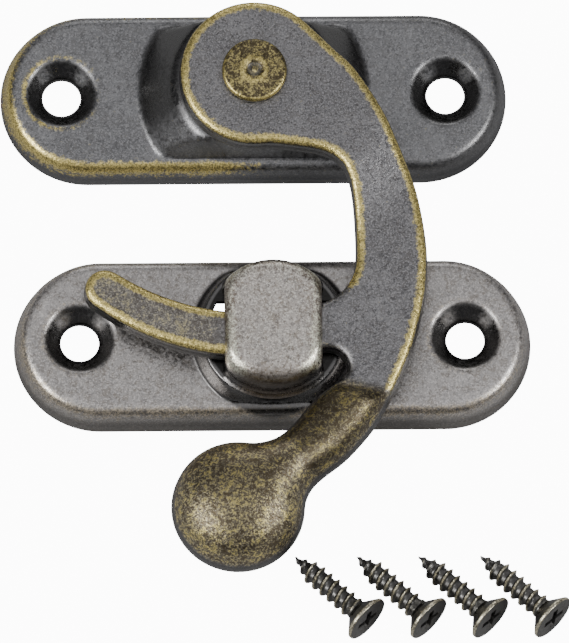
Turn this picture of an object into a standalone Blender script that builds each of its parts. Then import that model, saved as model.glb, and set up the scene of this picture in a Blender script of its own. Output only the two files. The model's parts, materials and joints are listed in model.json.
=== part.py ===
"""Swing-arm hook latch with a thumb ball, laid out on its back with its four wood screws.

Metres, +Z up. The two pressed plates stand on z = 0 (the mounting plane), +Z points out of
the surface they screw to, and +Y points from the catch plate to the arm plate. The origin
is the middle of the footprint on the mounting plane.
"""
import bpy
import bmesh
import numpy as np
from math import pi, cos, sin, tan, atan2, hypot, radians, sqrt, floor
from mathutils import Matrix, Vector
from mathutils.geometry import delaunay_2d_cdt

for ob in list(bpy.data.objects):
    bpy.data.objects.remove(ob, do_unlink=True)

MM = 0.001

# ---- driving dimensions, millimetres -----------------------------------------------------
PIVOT_X, PIVOT_Y = -2.73, 23.60      # arm pivot in the frame
HOLE_PITCH = 38.1                    # between the two screw holes of a plate
HOLE_R = 1.9                         # screw hole
CSK_R = 3.5                          # countersink mouth
SHEET = 1.0                          # pressed sheet
BEND_R = 1.2                         # outside bend radius at the face edge

ARM_PLATE_HALF = (25.15, 8.69)       # foot outline, half length and half height
ARM_PLATE_FACE = 3.1                 # face above the mounting plane
ARM_PLATE_FLARE = 16.0               # rim lean, degrees
BOSS_TOP = 7.5                       # boss plateau above the mounting plane
BOSS_R_FOOT, BOSS_R_TOP = 11.8, 7.1

CATCH_DX, CATCH_DY = 1.6, -25.5      # catch plate centre from the pivot
CATCH_HALF = (25.6, 8.62)
CATCH_FACE = 3.8
CATCH_FLARE = 13.0
RING_TOP = 6.2                       # ledge round the bridge
RING_R_FOOT, RING_R_TOP = 8.1, 7.0
BRIDGE_R = 6.45                      # round of the bridge's two legs
BRIDGE_HALF_W = 4.8                  # half width of the bridge strap
BRIDGE_TOP = 10.1
BRIDGE_UNDER = 9.0                   # underside of the strap
BRIDGE_IN_R = 5.2
SLOT_LO, SLOT_HI = -3.6, 3.0         # passage for the hook between the legs, from the catch centre
SHEET_SLOT_LO = -2.4                 # lower edge of the opening in the sheet below it
EDGE_FADE = 0.9                      # boss and ring come down to the face over this width at the long edges

ARM_T = 2.2                          # thickness of the flat swing arm
ARM_LOW = 6.5                        # back of the arm at the hook and thumb ball
ARM_HIGH = 7.8                       # back of the arm at the eye
CRANK_R0, CRANK_R1 = 12.0, 20.0      # the arm steps down between these radii
EYE_R = 7.45
PIN_HOLE_R = 2.1
HOOK_R, HOOK_HALF = 26.4, 2.35       # centre line radius and half width of the hook finger
HOOK_TIP_DEG = 34.6                  # hook tip centre, degrees past the straight-down line
HOOK_TIP_R = 2.1
BALL_DX, BALL_DY, BALL_R, BALL_H = -2.05, -43.75, 6.6, 5.9   # thumb ball centre from the pivot, radius, height
KNOB_WALL, KNOB_DRAFT = 2.0, 0.45    # drafted side of the ball and neck below their domed top
NECK_LINE = ((8.7, -31.3), (13.0, -32.2))   # the flat face ends here and the neck rises, from the pivot

RIVET_PIN_R = 2.0
RIVET_HEAD_R = 3.2
RIVET_TOP = 11.0

SCREW_L, SCREW_HEAD_R, SCREW_R, SCREW_CORE = 10.0, 2.5, 1.25, 0.85
SCREW_PITCH = 1.0
SCREW_TURN = -44.0                   # heads point down and to the right
SCREW_HEADS = ((10.65, -54.15), (16.75, -54.15), (22.85, -54.15), (28.95, -54.15))  # from the pivot


def smooth(t):
    t = min(1.0, max(0.0, t))
    return t * t * (3.0 - 2.0 * t)


def material(name, color, rough, metal=1.0):
    m = bpy.data.materials.new(name)
    m.use_nodes = True
    b = m.node_tree.nodes["Principled BSDF"]
    b.inputs["Base Color"].default_value = (*color, 1.0)
    b.inputs["Roughness"].default_value = rough
    b.inputs["Metallic"].default_value = metal
    return m


def make(name, verts, faces, mat, origin=(0.0, 0.0)):
    """Object from millimetre vertices; its origin is put at the given point of the plane."""
    me = bpy.data.meshes.new(name)
    ox, oy = origin
    me.from_pydata([((x - ox) * MM, (y - oy) * MM, z * MM) for x, y, z in verts], [], faces)
    me.update()
    bm = bmesh.new()
    bm.from_mesh(me)
    bmesh.ops.recalc_face_normals(bm, faces=bm.faces)
    bm.to_mesh(me)
    bm.free()
    if mat:
        me.materials.append(mat)
    ob = bpy.data.objects.new(name, me)
    bpy.context.collection.objects.link(ob)
    ob.location = (ox * MM, oy * MM, 0.0)
    me.shade_smooth()
    me.set_sharp_from_angle(angle=radians(35))
    return ob


# ---- plane helpers -------------------------------------------------------------------------
def stadium(cx, cy, half_len, half_h, arc=20, side=22):
    """Closed loop of a slot outline, anticlockwise from its lower right corner."""
    e = half_len - half_h
    pts = []
    for i in range(arc):
        a = -pi / 2 + pi * i / arc
        pts.append((cx + e + half_h * cos(a), cy + half_h * sin(a)))
    for i in range(side):
        pts.append((cx + e - 2 * e * i / side, cy + half_h))
    for i in range(arc):
        a = pi / 2 + pi * i / arc
        pts.append((cx - e + half_h * cos(a), cy + half_h * sin(a)))
    for i in range(side):
        pts.append((cx - e + 2 * e * i / side, cy - half_h))
    return pts


def circle(cx, cy, r, n, phase=0.0):
    return [(cx + r * cos(2 * pi * (i + phase) / n), cy + r * sin(2 * pi * (i + phase) / n)) for i in range(n)]


def inside(p, poly):
    x, y = p
    hit = False
    j = len(poly) - 1
    for i in range(len(poly)):
        xi, yi = poly[i]
        xj, yj = poly[j]
        if (yi > y) != (yj > y) and x < (xj - xi) * (y - yi) / (yj - yi) + xi:
            hit = not hit
        j = i
    return hit


def edge_distance(p, poly):
    best = 1e9
    px, py = p
    for i in range(len(poly)):
        ax, ay = poly[i - 1]
        bx, by = poly[i]
        dx, dy = bx - ax, by - ay
        t = max(0.0, min(1.0, ((px - ax) * dx + (py - ay) * dy) / (dx * dx + dy * dy)))
        best = min(best, hypot(px - ax - t * dx, py - ay - t * dy))
    return best


def triangulate(outline, holes, points):
    """Plane triangles between an outline and round holes, through extra inner points.

    Vertices come back in the order outline, holes, points.
    """
    verts = list(outline)
    edges = [(i, (i + 1) % len(outline)) for i in range(len(outline))]
    for loop in holes:
        base = len(verts)
        verts += loop
        edges += [(base + i, base + (i + 1) % len(loop)) for i in range(len(loop))]
    verts += points
    res = delaunay_2d_cdt([Vector(v) for v in verts], edges, [], 0, 1e-6)
    out, tris, orig = res[0], res[2], res[3]
    remap = [o[0] for o in orig]
    faces = []
    for t in tris:
        idx = [remap[i] for i in t]
        c = (sum(verts[i][0] for i in idx) / 3, sum(verts[i][1] for i in idx) / 3)
        if inside(c, outline) and not any(inside(c, h) for h in holes):
            faces.append(idx)
    return verts, faces


def slab(outline, holes, points, top, under, rim_out, rim_in):
    """A pressed or cast piece: top skin, underside skin, hole walls and a rim.

    rim_out and rim_in are lists of loops, each with as many points as the outline, that run
    from the top skin's edge round to the underside skin's edge.
    """
    flat, tris = triangulate(outline, holes, points)
    n = len(flat)
    verts = [(x, y, top(x, y)) for x, y in flat] + [(x, y, under(x, y)) for x, y in flat]
    faces = [tuple(t) for t in tris] + [tuple(reversed([i + n for i in t])) for t in tris]
    base = len(outline)
    for loop in holes:
        m = len(loop)
        for i in range(m):
            a, b = base + i, base + (i + 1) % m
            faces.append((a, b, b + n, a + n))
        base += m
    rings = [list(range(len(outline)))]
    for loop in rim_out + rim_in:
        s = len(verts)
        verts += loop
        rings.append(list(range(s, s + len(loop))))
    rings.append(list(range(n, n + len(outline))))
    m = len(outline)
    for r0, r1 in zip(rings, rings[1:]):
        for i in range(m):
            j = (i + 1) % m
            faces.append((r0[i], r1[i], r1[j], r0[j]))
    return verts, faces


def ray_out(half_len, half_h, cx, cy, grow):
    """The same slot outline, moved out by grow; points keep their places round the loop."""
    return stadium(cx, cy, half_len + grow, half_h + grow)


# ---- pressed plates ------------------------------------------------------------------------
def pressed_plate(cx, cy, half, flare_deg, height, height_under, grid):
    flare = radians(flare_deg)
    face0 = height(cx + half[0] * 0.7, cy)
    shrink = BEND_R * cos(flare) + (face0 - BEND_R * (1 - sin(flare))) * tan(flare)
    hl, hh = half[0] - shrink, half[1] - shrink
    outline = stadium(cx, cy, hl, hh)
    holes = [circle(cx + s * HOLE_PITCH / 2, cy, HOLE_R, 28) for s in (-1, 1)]
    pts = []
    for s in (-1, 1):
        hx = cx + s * HOLE_PITCH / 2
        for r, n in ((2.3, 28), (2.9, 28), (CSK_R, 28), (3.95, 28)):
            pts += circle(hx, cy, r, n, 0.5 if r == 2.9 else 0.0)
    pts += [p for p in grid if edge_distance(p, outline) > 0.4 and inside(p, outline)
            and all(hypot(p[0] - cx - s * HOLE_PITCH / 2, p[1] - cy) > 4.4 for s in (-1, 1))]

    def dimple(x, y, mouth):
        r = min(hypot(x - cx - s * HOLE_PITCH / 2, y - cy) for s in (-1, 1))
        return max(0.0, mouth - r)

    def top(x, y):
        return height(x, y) - dimple(x, y, CSK_R)

    def under(x, y):
        r = min(hypot(x - cx - s * HOLE_PITCH / 2, y - cy) for s in (-1, 1))
        thin = 0.72 * smooth((2.9 - r) / 1.0)             # the punched edge is drawn thin
        return height_under(x, y) - SHEET + thin - dimple(x, y, CSK_R + 0.41)

    zs = [height(x, y) for x, y in outline]
    rim_out = []
    for k in range(3, -1, -1):
        a = flare + (pi / 2 - flare) * k / 4
        loop = ray_out(hl, hh, cx, cy, BEND_R * cos(a))
        rim_out.append([(x, y, z - BEND_R * (1 - sin(a))) for (x, y), z in zip(loop, zs)])
    foot = stadium(cx, cy, *half)
    rim_out.append([(x, y, 0.0) for x, y in foot])
    land = stadium(cx, cy, half[0] - SHEET * 1.03, half[1] - SHEET * 1.03)
    rim_in = [[(x, y, 0.0) for x, y in land]]
    loop = ray_out(hl, hh, cx, cy, 0.2)
    rim_in.append([(x, y, z - BEND_R) for (x, y), z in zip(loop, zs)])
    return slab(outline, holes, pts, top, under, rim_out, rim_in)


bronze = material("dark_bronze", (0.17, 0.165, 0.165), 0.42)
bronze_light = material("grey_bronze", (0.30, 0.285, 0.275), 0.42)
brass_edge = material("arm_bronze", (0.22, 0.205, 0.175), 0.40)
rivet_mat = material("rivet_bronze", (0.24, 0.215, 0.16), 0.38)
screw_mat = material("screw_bronze", (0.15, 0.14, 0.115), 0.40)

PX, PY = PIVOT_X, PIVOT_Y


def flat_half(half, flare_deg, face):
    """Half height of a plate's flat face, inside its edge bend."""
    f = radians(flare_deg)
    return half[1] - (BEND_R * cos(f) + (face - BEND_R * (1 - sin(f))) * tan(f))


ARM_FLAT = flat_half(ARM_PLATE_HALF, ARM_PLATE_FLARE, ARM_PLATE_FACE)
CATCH_FLAT = flat_half(CATCH_HALF, CATCH_FLARE, CATCH_FACE)


def arm_plate_height(x, y, d=0.0):
    r = hypot(x - PX, y - PY) + d
    return ARM_PLATE_FACE + (BOSS_TOP - ARM_PLATE_FACE) * smooth((BOSS_R_FOOT - r) / (BOSS_R_FOOT - BOSS_R_TOP)) \
        * smooth((ARM_FLAT + 0.02 - abs(y - PY)) / EDGE_FADE)


boss_grid = []
for i in range(-13, 14):
    for dy in (0.5, EDGE_FADE):
        boss_grid += [(PX + i * 0.85, PY + s * (ARM_FLAT - dy)) for s in (-1, 1)]
for k, r in enumerate((11.8, 10.9, 10.0, 9.2, 8.4, 7.7, 7.1)):
    boss_grid += [q for q in circle(PX, PY, r, 56, 0.5 * (k % 2)) if abs(q[1] - PY) < ARM_FLAT - EDGE_FADE - 0.3]
boss_grid += circle(PX, PY, 4.6, 24)
v, f = pressed_plate(PX, PY, ARM_PLATE_HALF, ARM_PLATE_FLARE, arm_plate_height,
                     lambda x, y: arm_plate_height(x, y, 0.42), boss_grid)
arm_plate = make("arm_plate", v, f, bronze, (PX, PY))

CX, CY = PX + CATCH_DX, PY + CATCH_DY


def catch_height(x, y, d=0.0):
    r = hypot(x - CX, y - CY) + d
    return CATCH_FACE + (RING_TOP - CATCH_FACE) * smooth((RING_R_FOOT - r) / (RING_R_FOOT - RING_R_TOP)) \
        * smooth((CATCH_FLAT + 0.02 - abs(y - CY)) / EDGE_FADE)


ring_grid = []
for i in range(-9, 10):
    for dy in (0.5, EDGE_FADE):
        ring_grid += [(CX + i * 0.85, CY + s * (CATCH_FLAT - dy)) for s in (-1, 1)]
for k, r in enumerate((8.1, 7.7, 7.4, 7.0)):
    ring_grid += [q for q in circle(CX, CY, r, 48, 0.5 * (k % 2)) if abs(q[1] - CY) < CATCH_FLAT - EDGE_FADE - 0.25]
ring_grid += circle(CX, CY, 4.0, 16)
v, f = pressed_plate(CX, CY, CATCH_HALF, CATCH_FLARE, catch_height,
                     lambda x, y: catch_height(x, y, 0.5), ring_grid)
catch_plate = make("catch_plate", v, f, bronze_light, (CX, CY))


def turned(name, profile, n, cx, cy, mat=None):
    """Round solid from (radius, z) points run from the lower axis point to the upper one."""
    verts, faces, rings = [], [], []
    for r, z in profile:
        if r < 1e-9:
            rings.append([len(verts)])
            verts.append((cx, cy, z))
        else:
            rings.append(list(range(len(verts), len(verts) + n)))
            verts += [(x, y, z) for x, y in circle(cx, cy, r, n)]
    for a, b in zip(rings, rings[1:]):
        for i in range(n):
            j = (i + 1) % n
            if len(a) == 1:
                faces.append((a[0], b[j], b[i]))
            elif len(b) == 1:
                faces.append((a[i], a[j], b[0]))
            else:
                faces.append((a[i], a[j], b[j], b[i]))
    return make(name, verts, faces, mat, (cx, cy))


def prism(name, loop, z0, z1, mat=None):
    n = len(loop)
    verts = [(x, y, z0) for x, y in loop] + [(x, y, z1) for x, y in loop]
    faces = [tuple(range(n - 1, -1, -1)), tuple(range(n, 2 * n))]
    faces += [(i, (i + 1) % n, n + (i + 1) % n, n + i) for i in range(n)]
    return make(name, verts, faces, mat)


def boolean(ob, other, op):
    m = ob.modifiers.new(other.name, "BOOLEAN")
    m.operation = op
    m.object = other
    m.solver = "EXACT"


def hide(*obs):
    for ob in obs:
        ob.hide_render = True
        ob.display_type = "WIRE"


# bridge: a round drawn cap trimmed to a strap, hollow below, with the hook's passage across it
cap_round = 1.3
prof = [(0.0, 5.7), (BRIDGE_R, 5.7), (BRIDGE_R, BRIDGE_TOP - cap_round)]
for k in range(1, 5):
    a = pi / 2 * k / 5
    prof.append((BRIDGE_R - cap_round * (1 - cos(a)), BRIDGE_TOP - cap_round * (1 - sin(a))))
prof += [(BRIDGE_R - cap_round, BRIDGE_TOP), (0.0, BRIDGE_TOP)]
cap = turned("bridge_cap", prof, 48, CX, CY)
strap = prism("bridge_strap_trim", [(CX - BRIDGE_HALF_W, CY - 8), (CX + BRIDGE_HALF_W, CY - 8),
                                    (CX + BRIDGE_HALF_W, CY + 8), (CX - BRIDGE_HALF_W, CY + 8)], 5.0, 11.0)
boolean(cap, strap, "INTERSECT")
boolean(catch_plate, cap, "UNION")

def slot_loop(lo, hi, r_slot):
    """Slot outline whose ends follow the drawn round."""
    loop = []
    for k in range(9):
        y = lo + (hi - lo) * k / 8
        loop.append((CX + sqrt(r_slot ** 2 - y * y), CY + y))
    for k in range(9):
        y = hi - (hi - lo) * k / 8
        loop.append((CX - sqrt(r_slot ** 2 - y * y), CY + y))
    return loop


passage = prism("hook_passage", slot_loop(SLOT_LO, SLOT_HI, 6.9), RING_TOP + 0.03, BRIDGE_UNDER)
opening = prism("sheet_opening", slot_loop(SHEET_SLOT_LO, SLOT_HI - 0.01, 6.3), -1.0, RING_TOP + 0.2)
bore = turned("bridge_hollow", [(0.0, -1.1), (BRIDGE_IN_R, -1.1), (BRIDGE_IN_R, BRIDGE_UNDER - 0.02),
                                (0.0, BRIDGE_UNDER - 0.02)], 48, CX, CY)
boolean(catch_plate, passage, "DIFFERENCE")
boolean(catch_plate, opening, "DIFFERENCE")
boolean(catch_plate, bore, "DIFFERENCE")
hide(cap, strap, passage, opening, bore)

# hole for the rivet in the boss
pin_cut = turned("boss_pin_hole", [(0.0, 4.0), (PIN_HOLE_R, 4.0), (PIN_HOLE_R, 9.0), (0.0, 9.0)], 48, PX, PY)
boolean(arm_plate, pin_cut, "DIFFERENCE")
hide(pin_cut)

# ---- swing arm -----------------------------------------------------------------------------
# outline control points from the pivot: outside of the C from the eye down to the thumb ball
OUTER = ((4.6, 5.85), (6.35, 4.15), (8.3, 2.2), (9.5, 1.1), (10.7, -0.5), (12.0, -2.55), (13.15, -4.6),
         (14.05, -6.7), (14.85, -8.6), (15.5, -10.3), (16.1, -12.3), (16.55, -14.7), (16.85, -17.2),
         (16.9, -19.4), (16.75, -21.8), (16.4, -23.8), (15.95, -25.7), (15.35, -27.8), (14.6, -29.7),
         (13.85, -31.4), (13.2, -32.8), (12.4, -34.3), (11.35, -36.0), (9.95, -37.7), (8.4, -39.3),
         (6.95, -40.4), (5.85, -41.3), (5.2, -42.0), (4.8, -42.75))
# inside, from the thumb ball back up the neck and round the notch to the hook
NOTCH = ((0.4, -37.2), (1.2, -37.0), (2.0, -36.65), (2.8, -36.05), (3.4, -35.5), (4.0, -34.8), (4.9, -33.6),
         (5.8, -32.65), (6.7, -31.95), (7.6, -31.45), (8.4, -31.0), (8.9, -30.5), (9.0, -29.9), (8.75, -29.2),
         (8.2, -28.45), (7.4, -27.95))
# inside of the C from the hook up to the eye
INNER = ((6.95, -23.05), (7.8, -22.55), (8.6, -21.8), (9.3, -20.75), (9.7, -19.5), (9.8, -17.9), (9.75, -15.6),
         (9.6, -13.2), (9.35, -11.4), (8.95, -10.1), (8.3, -9.1), (7.3, -8.4), (6.0, -7.95), (4.4, -7.7),
         (2.9, -7.5))


def through(points, per):
    """Catmull-Rom points through a run of control points."""
    out = []
    p = list(points)
    p = [(2 * p[0][0] - p[1][0], 2 * p[0][1] - p[1][1])] + p + [(2 * p[-1][0] - p[-2][0], 2 * p[-1][1] - p[-2][1])]
    for i in range(1, len(p) - 2):
        for k in range(per):
            t = k / per
            out.append(tuple(0.5 * (2 * p[i][a] + (p[i + 1][a] - p[i - 1][a]) * t
                                    + (2 * p[i - 1][a] - 5 * p[i][a] + 4 * p[i + 1][a] - p[i + 2][a]) * t * t
                                    + (3 * p[i][a] - p[i - 1][a] - 3 * p[i + 1][a] + p[i + 2][a]) * t ** 3)
                             for a in (0, 1)))
    out.append(tuple(points[-1]))
    return out


def arm_outline(per=1, step=1.1):
    """Clockwise loop of the swing arm seen from the front, from the pivot."""
    loop = []
    a0, a1 = atan2(-7.3, 1.4), atan2(5.85, 4.6)     # eye: from its bottom round the left to the top right
    n = max(8, int(EYE_R * (2 * pi - (a1 - a0)) / step))
    for i in range(n):
        a = a0 - (2 * pi - (a1 - a0)) * i / n
        loop.append((EYE_R * cos(a), EYE_R * sin(a)))
    loop += through(OUTER, per)
    b0, b1 = atan2(-43.4 - BALL_DY, 4.5 - BALL_DX), atan2(-37.3 - BALL_DY, -0.55 - BALL_DX)
    sweep = 2 * pi - (b1 - b0)
    n = max(8, int(BALL_R * sweep / step))
    for i in range(n + 1):
        a = b0 - sweep * i / n
        loop.append((BALL_DX + BALL_R * cos(a), BALL_DY + BALL_R * sin(a)))
    loop += through(NOTCH, per)
    tip = radians(-90.0 - HOOK_TIP_DEG)
    start = atan2(-27.7, 6.4)
    r_out, r_in = HOOK_R + HOOK_HALF, HOOK_R - HOOK_HALF
    n = max(6, int(r_out * (start - tip) / (1.6 * step)))
    for i in range(n + 1):                            # outer edge of the finger, out to the tip
        t = i / n
        a = start + (tip - start) * t
        r = r_out + 0.15 * sin(pi * t) - (HOOK_HALF - HOOK_TIP_R) * t ** 3
        loop.append((r * cos(a), r * sin(a)))
    tx, ty = HOOK_R * cos(tip), HOOK_R * sin(tip)
    m = max(6, int(pi * HOOK_TIP_R / (0.6 * step)))
    for i in range(1, m):
        a = tip - pi * i / m
        loop.append((tx + HOOK_TIP_R * cos(a), ty + HOOK_TIP_R * sin(a)))
    end = atan2(-23.2, 6.2)
    for i in range(n + 1):                            # inner edge of the finger, back to the root
        t = 1 - i / n
        a = end + (tip - end) * t
        r = r_in + 0.12 * sin(pi * t) + (HOOK_HALF - HOOK_TIP_R) * t ** 3
        loop.append((r * cos(a), r * sin(a)))
    loop += through(INNER, per)
    return loop


def arm_back(x, y):
    return ARM_HIGH + (ARM_LOW - ARM_HIGH) * smooth((hypot(x, y) - CRANK_R0) / (CRANK_R1 - CRANK_R0))


def inflate(loop, lo, hi, h=0.4, rounds=900):
    """Swell of a skin stretched over the loop and blown up, as a ratio to the distance from the loop.

    Solves lap(u) = -1 with u = 0 on the loop, on a square grid. The root of u is a half ball
    over a round outline and a half cylinder over a strip, and runs smoothly between them.
    """
    nx, ny = int((hi[0] - lo[0]) / h) + 1, int((hi[1] - lo[1]) / h) + 1
    e = np.array([[edge_distance((lo[0] + i * h, lo[1] + j * h), loop)
                   if inside((lo[0] + i * h, lo[1] + j * h), loop) else 0.0 for i in range(nx)] for j in range(ny)])
    deep = e > h * 0.75
    deep[0], deep[-1], deep[:, 0], deep[:, -1] = False, False, False, False
    ring = (e > 0) & ~deep

    def around(g, w):
        gs = sum(np.roll(np.roll(g * w, i, 0), j, 1) for i in (-1, 0, 1) for j in (-1, 0, 1))
        ws = sum(np.roll(np.roll(w, i, 0), j, 1) for i in (-1, 0, 1) for j in (-1, 0, 1))
        return gs / np.maximum(ws, 1), ws

    u = np.zeros_like(e)
    w = deep.astype(float)
    for _ in range(rounds):
        m = 0.25 * (np.roll(u, 1, 0) + np.roll(u, -1, 0) + np.roll(u, 1, 1) + np.roll(u, -1, 1) + h * h)
        u = np.where(deep, m, 0.0)
        u = np.where(ring, around(u / np.maximum(e, 1e-6), w)[0] * e, u)
    g = np.where(deep, u / np.maximum(e, 1e-6), 0.0)
    for _ in range(4):                                # carry the ratio past the outline
        gs, ws = around(g, w)
        new = (w == 0) & (ws > 0)
        g, w = np.where(new, gs, g), np.where(new, 1.0, w)

    def read(x, y):
        fx = min(max((x - lo[0]) / h, 0.0), nx - 1.001)
        fy = min(max((y - lo[1]) / h, 0.0), ny - 1.001)
        i, j = int(fx), int(fy)
        a, b = fx - i, fy - j
        return float(g[j, i] * (1 - a) * (1 - b) + g[j, i + 1] * a * (1 - b)
                     + g[j + 1, i] * (1 - a) * b + g[j + 1, i + 1] * a * b)
    return read


swell = inflate(arm_outline(3, 0.5), (-9.5, -51.5), (15.5, -22.0))


def arm_thick(x, y, edge):
    """Thickness at a point whose distance to the outline is edge."""
    e = min(1.0, edge / 0.75)
    flat = ARM_T - 0.55 * (1 - sqrt(max(0.0, 1 - (1 - e) ** 2)))
    if y > -30.0:
        return flat
    (ax, ay), (bx, by) = NECK_LINE
    below = ((x - ax) * (by - ay) - (y - ay) * (bx - ax)) / hypot(bx - ax, by - ay)
    m = smooth(below / 1.9)
    far = smooth((hypot(x - BALL_DX, y - BALL_DY) - 5.0) / 7.0)
    k = 2.0 * (BALL_H - KNOB_WALL) / sqrt(BALL_R * (BALL_R - KNOB_DRAFT)) * (1 - 0.17 * far)
    wall = 1.0 + (KNOB_WALL - 1.0) * min(1.0, edge / KNOB_DRAFT)
    dome = k * (sqrt(swell(x, y) * max(0.0, edge - KNOB_DRAFT) + 0.02) - sqrt(0.02))
    return flat * (1 - m) + (wall + dome) * m


outline = arm_outline(1, 1.2)
eye_hole = circle(0, 0, PIN_HOLE_R, 48)
pts = []
n = len(outline)
for inset, keep in ((0.35, 1), (0.8, 1)):
    for i in range(0, n, keep):
        (xa, ya), (xb, yb) = outline[i - 1], outline[(i + 1) % n]
        tx, ty = xb - xa, yb - ya
        L = hypot(tx, ty)
        x, y = outline[i][0] + ty / L * inset, outline[i][1] - tx / L * inset
        if inside((x, y), outline) and edge_distance((x, y), outline) > 0.9 * inset:
            pts.append((x, y))
rings = list(pts)
for gap, y0, y1 in ((1.35, -30.5, 12.0), (1.0, -52.0, -30.5)):     # finer over the neck and ball
    for ix in range(-20, 21):
        for iy in range(-56, 12):
            x, y = ix * gap + (gap / 2 if iy % 2 else 0.0), iy * gap
            if y0 < y <= y1 and inside((x, y), outline) and edge_distance((x, y), outline) > 1.25 \
                    and hypot(x, y) > 2.9 and all(hypot(x - a, y - b) > 0.5 for a, b in rings):
                pts.append((x, y))


def arm_top(x, y):
    return arm_back(x, y) + arm_thick(x, y, edge_distance((x, y), outline))


v, f = slab(outline, [eye_hole], pts, arm_top, arm_back, [], [])
v = [(x + PX, y + PY, z) for x, y, z in v]
swing_arm = make("swing_arm", v, f, brass_edge, (PX, PY))

# ---- pivot rivet ---------------------------------------------------------------------------
rivet = turned("pivot_rivet", [
    (0.0, 5.15), (2.3, 5.15), (2.85, 5.45), (3.0, 5.85), (3.0, 6.25),
    (RIVET_PIN_R, 6.25), (RIVET_PIN_R, 10.25),
    (RIVET_HEAD_R, 10.25), (RIVET_HEAD_R, RIVET_TOP - 0.35), (RIVET_HEAD_R - 0.12, RIVET_TOP - 0.13),
    (RIVET_HEAD_R - 0.4, RIVET_TOP), (1.35, RIVET_TOP), (0.95, RIVET_TOP - 0.25), (0.6, RIVET_TOP - 0.35),
    (0.0, RIVET_TOP - 0.3)], 48, PX, PY, rivet_mat)


# ---- wood screws ---------------------------------------------------------------------------
def screw_radius(s, turn):
    """Core and thread radius at a distance s below the head's top and an angle in turns."""
    head_end = SCREW_HEAD_R - SCREW_R + 0.25
    taper = min(1.0, (SCREW_L - s) / 2.4)
    core = SCREW_CORE * taper
    ph = (s / SCREW_PITCH - turn) % 1.0
    crest = max(0.0, 1.0 - abs(ph - 0.5) / 0.27)
    fade = smooth((s - head_end) / 0.9)
    neck = SCREW_CORE + 0.2 * (1 - smooth((s - head_end) / 1.2))
    return max(core, neck * taper) + (SCREW_R - SCREW_CORE) * (0.25 + 0.75 * taper) * crest * fade


def screw_mesh(n=12, per_turn=5):
    """Screw along +X from its head's top at x = 0 to its point."""
    rings = [(0.0, SCREW_HEAD_R - 0.12), (0.12, SCREW_HEAD_R), (0.3, SCREW_HEAD_R)]
    verts, faces, loops = [], [], []
    m = n * 2
    for s, r in rings:
        loops.append(list(range(len(verts), len(verts) + m)))
        verts += [(s, r * cos(2 * pi * i / m), r * sin(2 * pi * i / m)) for i in range(m)]
    s0 = SCREW_HEAD_R - SCREW_R + 0.35
    k = 0
    first = True
    while True:
        s = s0 + k * SCREW_PITCH / per_turn
        if s > SCREW_L - 0.12:
            break
        loops.append(list(range(len(verts), len(verts) + n)))
        verts += [(s, screw_radius(s, i / n) * cos(2 * pi * i / n), screw_radius(s, i / n) * sin(2 * pi * i / n))
                  for i in range(n)]
        k += 1
    for a, b in zip(loops, loops[1:]):
        if len(a) == len(b):
            mm = len(a)
            for i in range(mm):
                j = (i + 1) % mm
                faces.append((a[i], b[i], b[j], a[j]))
        else:
            for i in range(n):
                j = (i + 1) % n
                faces += [(a[2 * i], b[i], a[2 * i + 1]), (a[2 * i + 1], b[i], b[j]),
                          (a[2 * i + 1], b[j], a[(2 * i + 2) % m])]
    tip = len(verts)
    verts.append((SCREW_L, 0.0, 0.0))
    last = loops[-1]
    for i in range(n):
        faces.append((last[i], tip, last[(i + 1) % n]))
    faces.append(tuple(loops[0]))
    return verts, faces


def cross_cutter(name):
    """Tapered cross recess that opens at x = 0."""
    def ring(x, arm, w):
        c = [(arm, w), (w, w), (w, arm), (-w, arm), (-w, w), (-arm, w), (-arm, -w), (-w, -w), (-w, -arm),
             (w, -arm), (w, -w), (arm, -w)]
        return [(x, a, b) for a, b in c]
    v = ring(-0.4, 1.52, 0.36) + ring(0.9, 0.95, 0.27) + ring(1.35, 0.42, 0.2)
    f = [tuple(range(12)), tuple(range(35, 23, -1))]
    for a in (0, 12):
        f += [(a + i, a + (i + 1) % 12, a + 12 + (i + 1) % 12, a + 12 + i) for i in range(12)]
    return make(name, v, f, None)


sv, sf = screw_mesh()
lean = atan2(SCREW_HEAD_R - SCREW_R - 0.02, SCREW_L - 2.2)   # head rim and threads both touch z = 0
for k, (hx, hy) in enumerate(SCREW_HEADS):
    ob = make(f"mounting_screw_{k + 1}", sv, sf, screw_mat)
    cut = cross_cutter(f"cross_recess_{k + 1}")
    m = ob.modifiers.new("recess", "BOOLEAN")
    m.operation = "DIFFERENCE"
    m.solver = "EXACT"
    m.object = cut
    hide(cut)
    # head's top centre at (hx, hy); the point lies up and to the left
    rot = Matrix.Rotation(radians(180 + SCREW_TURN), 4, "Z") @ Matrix.Rotation(lean, 4, "Y") \
        @ Matrix.Rotation(radians(20 + 50 * k), 4, "X")
    loc = Vector(((PX + hx) * MM, (PY + hy) * MM, (SCREW_HEAD_R * cos(lean) + 0.05) * MM))
    ob.matrix_world = Matrix.Translation(loc) @ rot
    cut.matrix_world = ob.matrix_world.copy()
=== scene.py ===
"""Looks of the swing-arm hook latch: fine meshes, antique bronze finishes, studio, camera."""
import json

import bpy
import bmesh
import numpy as np
from math import pi, cos, sin, tan, atan2, hypot, radians, sqrt
from mathutils import Matrix, Vector
from mathutils.geometry import delaunay_2d_cdt


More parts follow.
